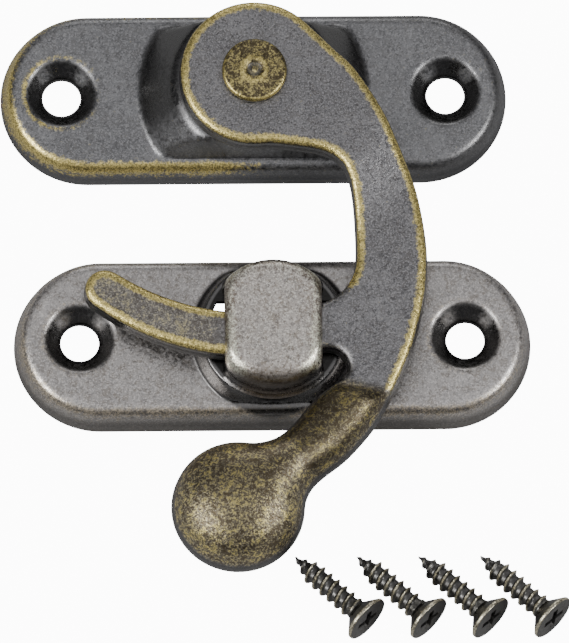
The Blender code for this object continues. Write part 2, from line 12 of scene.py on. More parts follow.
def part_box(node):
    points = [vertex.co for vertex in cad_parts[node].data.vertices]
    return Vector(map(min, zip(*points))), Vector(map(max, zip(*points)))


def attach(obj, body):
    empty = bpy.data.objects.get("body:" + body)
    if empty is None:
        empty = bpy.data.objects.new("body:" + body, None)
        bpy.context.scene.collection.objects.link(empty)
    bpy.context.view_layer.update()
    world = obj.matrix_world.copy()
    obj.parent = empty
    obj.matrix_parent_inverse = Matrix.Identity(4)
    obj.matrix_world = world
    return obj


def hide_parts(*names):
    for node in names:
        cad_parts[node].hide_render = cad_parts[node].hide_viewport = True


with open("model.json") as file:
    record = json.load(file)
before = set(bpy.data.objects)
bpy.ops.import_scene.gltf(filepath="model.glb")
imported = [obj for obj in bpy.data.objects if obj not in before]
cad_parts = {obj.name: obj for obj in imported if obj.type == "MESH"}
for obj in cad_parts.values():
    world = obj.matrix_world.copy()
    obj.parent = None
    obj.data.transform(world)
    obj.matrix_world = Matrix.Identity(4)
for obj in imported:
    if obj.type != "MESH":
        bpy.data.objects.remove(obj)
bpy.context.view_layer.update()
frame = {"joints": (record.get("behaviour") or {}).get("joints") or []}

MM = 0.001
joint = frame["joints"][0]
PX, PY = joint["pos_m"][0] / MM, joint["pos_m"][1] / MM      # arm pivot, millimetres


def node_box(name):
    lo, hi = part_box(name)
    return np.array(lo) / MM, np.array(hi) / MM


# ---- sizes read from the frame, the rest repeats the design ---------------------------------
c_lo, c_hi = node_box("catch_plate")
CX, CY = (c_lo[0] + c_hi[0]) / 2, (c_lo[1] + c_hi[1]) / 2
CATCH_HALF = ((c_hi[0] - c_lo[0]) / 2, (c_hi[1] - c_lo[1]) / 2)
BRIDGE_TOP = c_hi[2]
a_lo, a_hi = node_box("arm_plate")
ARM_PLATE_HALF = ((a_hi[0] - a_lo[0]) / 2, (a_hi[1] - a_lo[1]) / 2)
BOSS_TOP = a_hi[2]
s_lo, s_hi = node_box("swing_arm")
ARM_LOW = s_lo[2]
ARM_TOP = s_hi[2]
r_lo, r_hi = node_box("pivot_rivet")
RIVET_TOP, RIVET_LOW, RIVET_R = r_hi[2], r_lo[2], (r_hi[0] - r_lo[0]) / 2

HOLE_PITCH, HOLE_R, CSK_R, SHEET, BEND_R = 38.1, 1.9, 3.5, 1.0, 1.2
ARM_PLATE_FACE, ARM_PLATE_FLARE, BOSS_R_FOOT, BOSS_R_TOP = 3.1, 16.0, 11.8, 7.1
CATCH_FACE, CATCH_FLARE, RING_TOP, RING_R_FOOT, RING_R_TOP = 3.8, 13.0, 6.2, 8.1, 7.0
BRIDGE_R, BRIDGE_HALF_W, BRIDGE_UNDER, BRIDGE_IN_R, SLOT_LO, SLOT_HI = 6.45, 4.8, 9.0, 5.2, -3.6, 3.0
ARM_T, ARM_HIGH, CRANK_R0, CRANK_R1, EYE_R, PIN_HOLE_R = 2.2, 7.8, 12.0, 20.0, 7.45, 2.1
HOOK_R, HOOK_HALF, HOOK_TIP_DEG, HOOK_TIP_R = 26.4, 2.35, 34.6, 2.1
BALL_DX, BALL_DY, BALL_R, BALL_H = -2.05, -43.75, 6.6, ARM_TOP - ARM_LOW
KNOB_WALL, KNOB_DRAFT, SHEET_SLOT_LO, EDGE_FADE = 2.0, 0.45, -2.4, 0.9
SCREW_L, SCREW_HEAD_R, SCREW_R, SCREW_CORE, SCREW_PITCH = 10.0, 2.45, 1.25, 0.85, 1.0

rng = np.random.default_rng(7)


def smooth(t):
    t = np.clip(t, 0.0, 1.0)
    return t * t * (3.0 - 2.0 * t)


# ---- plane helpers --------------------------------------------------------------------------
def stadium(cx, cy, half_len, half_h, arc=56, side=84):
    e = half_len - half_h
    a = -pi / 2 + pi * np.arange(arc) / arc
    t = np.arange(side) / side
    return np.vstack([
        np.c_[cx + e + half_h * np.cos(a), cy + half_h * np.sin(a)],
        np.c_[cx + e - 2 * e * t, np.full(side, cy + half_h)],
        np.c_[cx - e - half_h * np.cos(a), cy - half_h * np.sin(a)],
        np.c_[cx - e + 2 * e * t, np.full(side, cy - half_h)]])


def circle(cx, cy, r, n, phase=0.0):
    a = 2 * pi * (np.arange(n) + phase) / n
    return np.c_[cx + r * np.cos(a), cy + r * np.sin(a)]


def inside(p, poly):
    x, y = p[:, 0][:, None], p[:, 1][:, None]
    x0, y0 = poly[:, 0], poly[:, 1]
    x1, y1 = np.roll(x0, 1), np.roll(y0, 1)
    cross = ((y0 > y) != (y1 > y)) & (x < (x1 - x0) * (y - y0) / np.where(y1 == y0, 1e-12, y1 - y0) + x0)
    return cross.sum(1) % 2 == 1


def edge_distance(p, poly):
    a = np.roll(poly, 1, 0)
    d = poly - a
    L2 = (d ** 2).sum(1)
    out = np.empty(len(p))
    for s in range(0, len(p), 2000):
        q = p[s:s + 2000]
        w = q[:, None, :] - a[None]
        t = np.clip((w * d).sum(2) / L2, 0, 1)
        out[s:s + 2000] = np.sqrt(((w - t[..., None] * d) ** 2).sum(2)).min(1)
    return out


def nearest_keep(points, rings, gap):
    """Points that stay at least gap away from every ring point."""
    if len(rings) == 0 or len(points) == 0:
        return points
    keep = np.ones(len(points), bool)
    for s in range(0, len(points), 1500):
        q = points[s:s + 1500]
        d2 = ((q[:, None, :] - rings[None]) ** 2).sum(2).min(1)
        keep[s:s + 1500] = d2 > gap * gap
    return points[keep]


def hex_grid(lo, hi, h):
    rows = int((hi[1] - lo[1]) / (h * 0.866)) + 1
    cols = int((hi[0] - lo[0]) / h) + 1
    iy, ix = np.mgrid[0:rows, 0:cols]
    return np.c_[(lo[0] + (ix + 0.5 * (iy % 2)) * h).ravel(), (lo[1] + iy * h * 0.866).ravel()]


def inset_points(outline, inset):
    """Outline moved inward (the outline runs clockwise if sign is -1)."""
    a, b = np.roll(outline, 1, 0), np.roll(outline, -1, 0)
    t = b - a
    t /= np.hypot(t[:, 0], t[:, 1])[:, None]
    area = 0.5 * np.sum(outline[:, 0] * np.roll(outline[:, 1], -1) - np.roll(outline[:, 0], -1) * outline[:, 1])
    s = 1.0 if area > 0 else -1.0
    n = np.c_[-t[:, 1], t[:, 0]] * s
    return outline + n * (inset[:, None] if isinstance(inset, np.ndarray) else inset)


def triangulate(outline, holes, points):
    verts = [tuple(p) for p in outline]
    edges = [(i, (i + 1) % len(outline)) for i in range(len(outline))]
    for loop in holes:
        base = len(verts)
        verts += [tuple(p) for p in loop]
        edges += [(base + i, base + (i + 1) % len(loop)) for i in range(len(loop))]
    verts += [tuple(p) for p in points]
    res = delaunay_2d_cdt([Vector(v) for v in verts], edges, [], 0, 1e-7)
    tris, orig = res[2], res[3]
    remap = np.array([o[0] if o else -1 for o in orig])
    flat = np.array(verts)
    t = remap[np.array([list(f) for f in tris])]
    t = t[(t >= 0).all(1)]
    c = flat[t].mean(1)
    ok = inside(c, outline)
    for h in holes:
        ok &= ~inside(c, np.asarray(h))
    return flat, t[ok]


def slab(outline, holes, points, top, under, rim):
    flat, tris = triangulate(outline, holes, points)
    n = len(flat)
    verts = np.vstack([np.c_[flat, top(flat)], np.c_[flat, under(flat)]])
    faces = [tuple(int(i) for i in t) for t in tris] + [tuple(int(i) + n for i in t[::-1]) for t in tris]
    base = len(outline)
    for loop in holes:
        m = len(loop)
        for i in range(m):
            a, b = base + i, base + (i + 1) % m
            faces.append((a, b, b + n, a + n))
        base += m
    rings = [list(range(len(outline)))]
    count = len(verts)
    extra = []
    for loop in rim:
        rings.append(list(range(count, count + len(loop))))
        extra.append(np.asarray(loop))
        count += len(loop)
    if extra:
        verts = np.vstack([verts] + extra)
    rings.append(list(range(n, n + len(outline))))
    m = len(outline)
    for r0, r1 in zip(rings, rings[1:]):
        for i in range(m):
            j = (i + 1) % m
            faces.append((r0[i], r1[i], r1[j], r0[j]))
    return verts, faces


def build(name, verts, faces, sharp=38.0):
    me = bpy.data.meshes.new(name)
    me.from_pydata([tuple(v) for v in np.asarray(verts, float) * MM], [], faces)
    me.update()
    bm = bmesh.new()
    bm.from_mesh(me)
    bmesh.ops.remove_doubles(bm, verts=bm.verts, dist=2e-7)
    bmesh.ops.recalc_face_normals(bm, faces=bm.faces)
    bm.to_mesh(me)
    bm.free()
    ob = bpy.data.objects.new(name, me)
    bpy.context.collection.objects.link(ob)
    me.shade_smooth()
    me.set_sharp_from_angle(angle=radians(sharp))
    return ob


def apply_booleans(ob, ops):
    """Applies Boolean modifiers and removes the cutters."""
    for other, op in ops:
        m = ob.modifiers.new(other.name, "BOOLEAN")
        m.operation = op
        m.solver = "EXACT"
        m.object = other
    bpy.context.view_layer.update()
    me = bpy.data.meshes.new_from_object(ob.evaluated_get(bpy.context.evaluated_depsgraph_get()))
    ob.modifiers.clear()
    old = ob.data
    ob.data = me
    me.name = old.name
    bpy.data.meshes.remove(old)
    for other, op in ops:
        bpy.data.objects.remove(other, do_unlink=True)
    return ob


def curvature(ob, passes=2, key="wear", scale=1.0):
    """Stores how convex the surface is, per millimetre, as a point attribute."""
    me = ob.data
    n = len(me.vertices)
    co = np.empty(n * 3, np.float32)
    me.vertices.foreach_get("co", co)
    no = np.empty(n * 3, np.float32)
    me.vertices.foreach_get("normal", no)
    co, no = co.reshape(-1, 3).astype(float) / MM, no.reshape(-1, 3).astype(float)
    e = np.empty(len(me.edges) * 2, np.int64)
    me.edges.foreach_get("vertices", e)
    e = e.reshape(-1, 2)
    d = co[e[:, 1]] - co[e[:, 0]]
    L = np.sqrt((d ** 2).sum(1))
    k = ((no[e[:, 1]] - no[e[:, 0]]) * d).sum(1) / np.maximum(L, 0.05) ** 2
    k = np.clip(k, -4, 4)
    acc, cnt = np.zeros(n), np.zeros(n)
    w = np.minimum(L, 0.8)
    for c in (0, 1):
        np.add.at(acc, e[:, c], k * w)
        np.add.at(cnt, e[:, c], w)
    val = acc / np.maximum(cnt, 1e-9)
    for _ in range(passes):
        acc, cnt = val * 0.6, np.full(n, 0.6)
        wn = 1.0 / (0.15 + L)
        wn = wn / wn.mean() * 0.25
        np.add.at(acc, e[:, 0], val[e[:, 1]] * wn)
        np.add.at(acc, e[:, 1], val[e[:, 0]] * wn)
        np.add.at(cnt, e[:, 0], wn)
        np.add.at(cnt, e[:, 1], wn)
        val = acc / cnt
    at = me.attributes.get(key) or me.attributes.new(key, "FLOAT", "POINT")
    at.data.foreach_set("value", (val * scale).astype(np.float32))
    return val


def point_value(ob, key, fn):
    me = ob.data
    co = np.empty(len(me.vertices) * 3, np.float32)
    me.vertices.foreach_get("co", co)
    co = co.reshape(-1, 3).astype(float) / MM
    at = me.attributes.get(key) or me.attributes.new(key, "FLOAT", "POINT")
    at.data.foreach_set("value", np.asarray(fn(co), np.float32))


# ---- pressed plates -------------------------------------------------------------------------
def lip(r, mouth, soft):
    """Depth of a 45 degree countersink of the given mouth radius with a rolled-over lip."""
    d = mouth - r
    return np.where(d > soft, d, np.where(d < -soft, 0.0, (d + soft) ** 2 / (4 * soft)))


def plate(name, cx, cy, half, flare_deg, height, under_height, extra_pts, extra_rings, hole_loops, h=0.42):
    flare = radians(flare_deg)
    face0 = float(height(np.array([[cx + half[0] * 0.7, cy]]))[0])
    shrink = BEND_R * cos(flare) + (face0 - BEND_R * (1 - sin(flare))) * tan(flare)
    hl, hh = half[0] - shrink, half[1] - shrink
    outline = stadium(cx, cy, hl, hh)
    centres = [(cx + s * HOLE_PITCH / 2, cy) for s in (-1, 1)]
    holes = [circle(x, y, HOLE_R, 72) for x, y in centres] + list(hole_loops)
    rings = []
    for x, y in centres:
        for i, r in enumerate((1.97, 2.08, 2.3, 2.6, 2.9, 3.1, 3.28, 3.44, 3.6, 3.76, 3.94, 4.15)):
            rings.append(circle(x, y, r, 72, 0.5 * (i % 2)))
    near = np.vstack(rings)
    near = near[inside(near, outline) & (edge_distance(near, outline) > 0.12)]
    boss = extra_rings
    if len(boss):
        boss = boss[inside(boss, outline)]
        boss = boss[edge_distance(boss, outline) > 0.12]
    fixed = np.vstack([near, boss]) if len(boss) else near
    grid = hex_grid((cx - hl, cy - hh), (cx + hl, cy + hh), h)
    grid = grid[inside(grid, outline)]
    grid = grid[edge_distance(grid, outline) > h * 0.6]
    for x, y in centres:
        grid = grid[np.hypot(grid[:, 0] - x, grid[:, 1] - y) > 4.3]
    for loop in hole_loops:
        grid = grid[~inside(grid, loop)]
        grid = grid[edge_distance(grid, loop) > h * 0.6]
        fixed = fixed[~inside(fixed, loop)]
        fixed = fixed[edge_distance(fixed, loop) > 0.1]
    grid = nearest_keep(grid, fixed, h * 0.6)

    def hole_r(p):
        return np.minimum(*[np.hypot(p[:, 0] - x, p[:, 1] - y) for x, y in centres])

    def top(p):
        r = hole_r(p)
        return height(p) - lip(r, CSK_R, 0.32) - np.clip(2.05 - r, 0, None) * 0.9

    def under(p):
        r = hole_r(p)
        thin = smooth((2.9 - r) / 1.0) * 0.72                  # the punched edge is drawn thin
        return under_height(p) - SHEET + thin - lip(r, CSK_R + 0.41, 0.3)

    zs = height(outline)
    rim = []
    steps = 9
    for k in range(steps - 1, -1, -1):
        a = flare + (pi / 2 - flare) * k / steps
        loop = stadium(cx, cy, hl + BEND_R * cos(a), hh + BEND_R * cos(a))
        rim.append(np.c_[loop, zs - BEND_R * (1 - sin(a))])
    foot = stadium(cx, cy, *half)
    wall_top = rim[-1]
    for t in (0.18, 0.36, 0.52, 0.60, 0.68, 0.84, 0.965):
        loop = wall_top[:, :2] * (1 - t) + foot * t
        c = np.array([cx, cy])
        bulge = 0.05 * np.exp(-((t - 0.60) / 0.06) ** 2)      # faint press line round the rim
        d = loop - c
        loop = loop + d / np.hypot(d[:, 0], d[:, 1])[:, None] * bulge
        rim.append(np.c_[loop, wall_top[:, 2] * (1 - t)])
    rim.append(np.c_[stadium(cx, cy, half[0] - 0.05, half[1] - 0.05), np.zeros(len(foot))])
    land = stadium(cx, cy, half[0] - SHEET * 1.03, half[1] - SHEET * 1.03)
    rim.append(np.c_[land, np.zeros(len(land))])
    for a in (0.15, 0.5, 0.85):
        loop = stadium(cx, cy, hl + 0.2 * cos(a * pi / 2), hh + 0.2 * cos(a * pi / 2))
        rim.append(np.c_[loop, zs - BEND_R + 0.2 * sin(a * pi / 2)])
    v, f = slab(outline, holes, np.vstack([fixed, grid]), top, under, rim)
    return build(name, v, f)


def ring_points(cx, cy, radii, n):
    return np.vstack([circle(cx, cy, r, n, 0.5 * (i % 2)) for i, r in enumerate(radii)])


def edge_fade(p, cy, half_h, width):
    """0 at the plate's long edges, 1 inside."""
    return smooth((half_h - np.abs(p[:, 1] - cy)) / width)


def flat_half(half, flare_deg, face):
    f = radians(flare_deg)
    return half[1] - (BEND_R * cos(f) + (face - BEND_R * (1 - sin(f))) * tan(f))


ARM_FLAT = flat_half(ARM_PLATE_HALF, ARM_PLATE_FLARE, ARM_PLATE_FACE)
CATCH_FLAT = flat_half(CATCH_HALF, CATCH_FLARE, CATCH_FACE)


def arm_plate_height(p, d=0.0):
    r = np.hypot(p[:, 0] - PX, p[:, 1] - PY) + d
    t = np.clip((BOSS_R_FOOT - r) / (BOSS_R_FOOT - BOSS_R_TOP), 0, 1)
    # a crisp foot, a straight flank and a rounded shoulder
    s = np.where(t < 0.12, t * t / 0.24, np.where(t < 0.72, t - 0.06, 0.66 + 0.14 * (1 - ((1 - t) / 0.28) ** 2)))
    s = np.clip(s / 0.80, 0, 1)
    return ARM_PLATE_FACE + (BOSS_TOP - ARM_PLATE_FACE) * s * edge_fade(p, PY, ARM_FLAT + 0.02, EDGE_FADE)


arm_plate = plate("latch_arm_plate", PX, PY, ARM_PLATE_HALF, ARM_PLATE_FLARE,
                  arm_plate_height, lambda p: arm_plate_height(p, 0.42), [],
                  ring_points(PX, PY, np.arange(6.2, 12.6, 0.28), 150),
                  [circle(PX, PY, PIN_HOLE_R, 64)])


def catch_height(p, d=0.0):
    r = np.hypot(p[:, 0] - CX, p[:, 1] - CY) + d
    t = np.clip((RING_R_FOOT - r) / (RING_R_FOOT - RING_R_TOP), 0, 1)
    return CATCH_FACE + (RING_TOP - CATCH_FACE) * smooth(t) * edge_fade(p, CY, CATCH_FLAT + 0.02, EDGE_FADE)


r_slot = 6.3
ys = np.linspace(SHEET_SLOT_LO, SLOT_HI, 25)
ys_r = np.linspace(SHEET_SLOT_LO + 0.3, SLOT_HI, 25)         # the right end stops a little higher, behind the arm
slot_loop = np.vstack([np.c_[CX + np.sqrt(r_slot ** 2 - ys_r ** 2), CY + ys_r],
                       np.c_[CX - np.sqrt(r_slot ** 2 - ys[::-1] ** 2), CY + ys[::-1]]])
xs = np.linspace(-1, 1, 40)[1:-1]
top_run = np.c_[CX - xs * sqrt(r_slot ** 2 - SLOT_HI ** 2), np.full(len(xs), CY + SLOT_HI)]
low_run = np.c_[CX + xs * sqrt(r_slot ** 2 - SHEET_SLOT_LO ** 2), CY + SHEET_SLOT_LO + 0.3 * smooth((xs + 0.2) / 1.0)]
slot_loop = np.vstack([slot_loop[:25], top_run, slot_loop[25:], low_run])
catch_plate = plate("latch_catch_plate", CX, CY, CATCH_HALF, CATCH_FLARE,
                    catch_height, lambda p: catch_height(p, 0.5), [],
                    ring_points(CX, CY, np.arange(6.55, 8.75, 0.14), 180),
                    [slot_loop])

# ---- bridge of the catch plate ---------------------------------------------------------------
corner = atan2(sqrt(BRIDGE_R ** 2 - BRIDGE_HALF_W ** 2), BRIDGE_HALF_W)
arc_a = np.linspace(corner, pi - corner, 60)
side_y = np.linspace(BRIDGE_R * sin(corner), -BRIDGE_R * sin(corner), 50)[1:-1]
cap_line = np.vstack([np.c_[BRIDGE_R * np.cos(arc_a), BRIDGE_R * np.sin(arc_a)],
                      np.c_[np.full(len(side_y), -BRIDGE_HALF_W), side_y],
                      np.c_[-BRIDGE_R * np.cos(arc_a), -BRIDGE_R * np.sin(arc_a)],
                      np.c_[np.full(len(side_y), BRIDGE_HALF_W), -side_y]])
LEG_ROUND, LOW_ROUND, SIDE_ROUND = 1.3, 1.75, 0.95


def soften(loop, passes=6, amount=0.5):
    """Rounds the corners of a closed loop a little."""
    out = loop.copy()
    for _ in range(passes):
        out = out * (1 - amount) + (np.roll(out, 1, 0) + np.roll(out, -1, 0)) * amount / 2
    return out


cap_line = soften(cap_line, 14)
for sx in (-1, 1):                                           # tidy corners where each leg's inner edge meets the side
    for lim in (SLOT_LO, SLOT_HI):
        side_pts = np.where(cap_line[:, 0] * sx > BRIDGE_HALF_W - 0.3)[0]
        above = side_pts[cap_line[side_pts, 1] > lim]
        below = side_pts[cap_line[side_pts, 1] <= lim]
        cap_line[above[np.argmin(cap_line[above, 1])], 1] = lim + 0.015
        cap_line[below[np.argmax(cap_line[below, 1])], 1] = lim - 0.015


def in_leg(q, grow=0.0):
    rho = np.hypot(q[:, 0], q[:, 1])
    return (rho > BRIDGE_IN_R - grow) & ((q[:, 1] > SLOT_HI - grow) | (q[:, 1] < SLOT_LO + grow))


def cap_top(p):
    q = p - np.array([CX, CY])
    rho = np.hypot(q[:, 0], q[:, 1])
    leg = LEG_ROUND + (LOW_ROUND - LEG_ROUND) * smooth((-q[:, 1] - 2.0) / 2.0)
    a = np.clip(1 - (BRIDGE_R - rho) / leg, 0, 1)
    b = np.clip(1 - (BRIDGE_HALF_W - np.abs(q[:, 0])) / SIDE_ROUND, 0, 1)
    drop = leg * (1 - np.sqrt(1 - a * a)) + SIDE_ROUND * (1 - np.sqrt(1 - b * b))
    return BRIDGE_TOP - np.minimum(np.minimum(drop, leg + 0.35), BRIDGE_TOP - 8.3)


def cap_under(p):
    return np.where(in_leg(p - np.array([CX, CY])), 5.9, np.minimum(BRIDGE_UNDER, cap_top(p) - 0.25))


cap_loop = cap_line + np.array([CX, CY])
tracks = []
for lim, sg in ((SLOT_HI, 1), (SLOT_LO, -1)):
    x_in = sqrt(BRIDGE_IN_R ** 2 - lim ** 2)
    a0 = atan2(abs(lim), x_in)
    arc_in = np.linspace(a0, pi - a0, 70)
    for off in (-0.015, 0.015):
        r = BRIDGE_IN_R + off
        tracks.append(np.c_[r * np.cos(arc_in), sg * r * np.sin(arc_in)][1:-1])
        for sx in (-1, 1):
            run = np.linspace(x_in, BRIDGE_HALF_W - 0.03, 8)
            tracks.append(np.c_[sx * run, np.full(8, lim + sg * off)])
tracks = np.vstack(tracks) + np.array([CX, CY])
tracks = tracks[inside(tracks, cap_loop)]
tracks = tracks[edge_distance(tracks, cap_loop) > 0.01]
pts = np.vstack([inset_points(cap_loop, d) for d in
                 (0.012, 0.04, 0.085, 0.15, 0.23, 0.33, 0.46, 0.62, 0.82, 1.05, 1.3, 1.6)])
pts = pts[inside(pts, cap_loop)]
pts = nearest_keep(pts, tracks, 0.06)
grid = hex_grid((CX - 6.5, CY - 6.5), (CX + 6.5, CY + 6.5), 0.3)
grid = grid[inside(grid, cap_loop)]
grid = grid[edge_distance(grid, cap_loop) > 1.7]
grid = nearest_keep(grid, tracks, 0.12)
leg_pt = in_leg(cap_loop - np.array([CX, CY]), 0.0)
edge_z = cap_top(cap_loop)
foot_dir = (cap_loop - np.array([CX, CY]))
foot_dir = foot_dir / np.hypot(foot_dir[:, 0], foot_dir[:, 1])[:, None]
cap_rim = []
for z, grow in ((8.2, 0.0), (7.4, 0.0), (6.95, 0.0), (6.75, 0.04), (6.55, 0.13), (6.38, 0.27), (6.25, 0.45), (6.18, 0.6)):
    taper = np.clip((np.abs(cap_line[:, 1]) - (3.3 - 0.0)) / 1.2, 0, 1)
    zz = np.where(leg_pt, z, BRIDGE_UNDER + (edge_z - BRIDGE_UNDER) * (z - 6.0) / 3.0)
    cap_rim.append(np.c_[cap_loop + foot_dir * (grow * taper * leg_pt)[:, None], zz])
v, f = slab(cap_loop, [], np.vstack([pts, tracks, grid]), cap_top, cap_under, cap_rim)
bridge = build("latch_catch_bridge", v, f, 42)

# ---- swing arm -------------------------------------------------------------------------------
OUTER = ((4.6, 5.85), (6.35, 4.15), (8.3, 2.2), (9.5, 1.1), (10.7, -0.5), (12.0, -2.55), (13.15, -4.6),
         (14.05, -6.7), (14.85, -8.6), (15.5, -10.3), (16.1, -12.3), (16.55, -14.7), (16.85, -17.2),
         (16.9, -19.4), (16.75, -21.8), (16.4, -23.8), (15.95, -25.7), (15.35, -27.8), (14.6, -29.7),
         (13.85, -31.4), (13.2, -32.8), (12.4, -34.3), (11.35, -36.0), (9.95, -37.7), (8.4, -39.3),
         (6.95, -40.4), (5.85, -41.3), (5.2, -42.0), (4.8, -42.75))
NOTCH = ((0.4, -37.2), (1.2, -37.0), (2.0, -36.65), (2.8, -36.05), (3.4, -35.5), (4.0, -34.8), (4.9, -33.6),
         (5.8, -32.65), (6.7, -31.95), (7.6, -31.45), (8.4, -31.0), (8.9, -30.5), (9.0, -29.9), (8.75, -29.2),
         (8.2, -28.45), (7.4, -27.95))
INNER = ((6.95, -23.05), (7.8, -22.55), (8.6, -21.8), (9.3, -20.75), (9.7, -19.5), (9.8, -17.9), (9.75, -15.6),
         (9.6, -13.2), (9.35, -11.4), (8.95, -10.1), (8.3, -9.1), (7.3, -8.4), (6.0, -7.95), (4.4, -7.7),
         (2.9, -7.5))


def through(points, per):
    out = []
    p = [tuple(q) for q in points]
    p = [(2 * p[0][0] - p[1][0], 2 * p[0][1] - p[1][1])] + p + [(2 * p[-1][0] - p[-2][0], 2 * p[-1][1] - p[-2][1])]
    for i in range(1, len(p) - 2):
        for k in range(per):
            t = k / per
            out.append(tuple(0.5 * (2 * p[i][a] + (p[i + 1][a] - p[i - 1][a]) * t
                                    + (2 * p[i - 1][a] - 5 * p[i][a] + 4 * p[i + 1][a] - p[i + 2][a]) * t * t
                                    + (3 * p[i][a] - p[i - 1][a] - 3 * p[i + 1][a] + p[i + 2][a]) * t ** 3)
                             for a in (0, 1)))
    out.append(tuple(points[-1]))
    return out


def arm_outline(per, step):
    loop = []
    a0, a1 = atan2(-7.3, 1.4), atan2(5.85, 4.6)
    n = max(8, int(EYE_R * (2 * pi - (a1 - a0)) / step))
    for i in range(n):
        a = a0 - (2 * pi - (a1 - a0)) * i / n
        loop.append((EYE_R * cos(a), EYE_R * sin(a)))
    loop += through(OUTER, per)
    b0, b1 = atan2(-43.4 - BALL_DY, 4.5 - BALL_DX), atan2(-37.3 - BALL_DY, -0.55 - BALL_DX)
    sweep = 2 * pi - (b1 - b0)
    n = max(8, int(BALL_R * sweep / step))
    for i in range(n + 1):
        a = b0 - sweep * i / n
        loop.append((BALL_DX + BALL_R * cos(a), BALL_DY + BALL_R * sin(a)))
    loop += through(NOTCH, per)
    tip = radians(-90.0 - HOOK_TIP_DEG)
    start = atan2(-27.7, 6.4)
    r_out, r_in = HOOK_R + HOOK_HALF, HOOK_R - HOOK_HALF
    n = max(6, int(r_out * (start - tip) / (1.6 * step)))
    for i in range(n + 1):
        t = i / n
        a = start + (tip - start) * t
        r = r_out + 0.15 * sin(pi * t) - (HOOK_HALF - HOOK_TIP_R) * t ** 3
        loop.append((r * cos(a), r * sin(a)))
    tx, ty = HOOK_R * cos(tip), HOOK_R * sin(tip)
    m = max(6, int(pi * HOOK_TIP_R / (0.6 * step)))
    for i in range(1, m):
        a = tip - pi * i / m
        loop.append((tx + HOOK_TIP_R * cos(a), ty + HOOK_TIP_R * sin(a)))
    end = atan2(-23.2, 6.2)
    for i in range(n + 1):
        t = 1 - i / n
        a = end + (tip - end) * t
        r = r_in + 0.12 * sin(pi * t) + (HOOK_HALF - HOOK_TIP_R) * t ** 3
        loop.append((r * cos(a), r * sin(a)))
    loop += through(INNER, per)
    return np.array(loop)


def even(loop, step):
    """Same closed loop with points an even distance apart."""
    p = np.vstack([loop, loop[:1]])
    d = np.hypot(*(p[1:] - p[:-1]).T)
    s = np.r_[0, np.cumsum(d)]
    n = int(s[-1] / step)
    t = np.linspace(0, s[-1], n, endpoint=False)
    return np.c_[np.interp(t, s, p[:, 0]), np.interp(t, s, p[:, 1])]


arm_foot = soften(even(arm_outline(8, 0.3), 0.30), 5)       # outline at the back, where the side flares out
arm_loop = inset_points(arm_foot, 0.12)


def arm_back(p):
    return ARM_HIGH + (ARM_LOW - ARM_HIGH) * smooth((np.hypot(p[:, 0], p[:, 1]) - CRANK_R0) / (CRANK_R1 - CRANK_R0))


EDGE_R = 0.85


def inflate(loop, lo, hi, h=0.2, rounds=2600):
    """Solves lap(u) = -1 inside the loop; returns u/edge on a grid and its reader.

    The root of u is a half ball over a round outline and a half cylinder over a strip, and it
    runs smoothly from one to the other.
    """
    nx, ny = int((hi[0] - lo[0]) / h) + 1, int((hi[1] - lo[1]) / h) + 1
    X, Y = np.meshgrid(lo[0] + h * np.arange(nx), lo[1] + h * np.arange(ny))
    P = np.c_[X.ravel(), Y.ravel()]
    ins = inside(P, loop).reshape(ny, nx)
    e = edge_distance(P, loop).reshape(ny, nx)
    deep = ins & (e > h * 0.75)
    ring = ins & ~deep
    u = np.zeros((ny, nx))
    deep[0], deep[-1], deep[:, 0], deep[:, -1] = False, False, False, False
    for k in range(rounds):
        m = 0.25 * (np.roll(u, 1, 0) + np.roll(u, -1, 0) + np.roll(u, 1, 1) + np.roll(u, -1, 1) + h * h)
        u = np.where(deep, u + 1.0 * (m - u), 0.0)
        if k % 5 == 0:                                        # nodes next to the outline follow their inner neighbours
            g = np.where(deep, u / np.maximum(e, 1e-6), 0.0)
            w = deep.astype(float)
            gs = sum(np.roll(np.roll(g, i, 0), j, 1) for i in (-1, 0, 1) for j in (-1, 0, 1))
            ws = sum(np.roll(np.roll(w, i, 0), j, 1) for i in (-1, 0, 1) for j in (-1, 0, 1))
            edge_g = gs / np.maximum(ws, 1)
        u = np.where(ring, edge_g * e, u)
    g = np.where(deep, u / np.maximum(e, 1e-6), 0.0)
    w = deep.astype(float)
    for _ in range(6):                                        # carry the ratio past the outline
        gs = sum(np.roll(np.roll(g * w, i, 0), j, 1) for i in (-1, 0, 1) for j in (-1, 0, 1))
        ws = sum(np.roll(np.roll(w, i, 0), j, 1) for i in (-1, 0, 1) for j in (-1, 0, 1))
        new = (w == 0) & (ws > 0)
        g = np.where(new, gs / np.maximum(ws, 1), g)
        w = np.where(new, 1.0, w)

    def read(p):
        fx = np.clip((p[:, 0] - lo[0]) / h, 0, nx - 1.001)
        fy = np.clip((p[:, 1] - lo[1]) / h, 0, ny - 1.001)
        ix, iy = fx.astype(int), fy.astype(int)
        tx, ty = fx - ix, fy - iy
        return (g[iy, ix] * (1 - tx) * (1 - ty) + g[iy, ix + 1] * tx * (1 - ty)
                + g[iy + 1, ix] * (1 - tx) * ty + g[iy + 1, ix + 1] * tx * ty)
    return read


swell = inflate(arm_loop, (-9.5, -51.5), (15.5, -22.0))


def past_line(p):
    """Distance below the line where the flat face ends and the neck rises."""
    a, b = np.array([8.7, -31.3]), np.array([13.0, -32.2])
    d = b - a
    n = np.array([d[1], -d[0]]) / hypot(*d)
    return (p - a) @ n


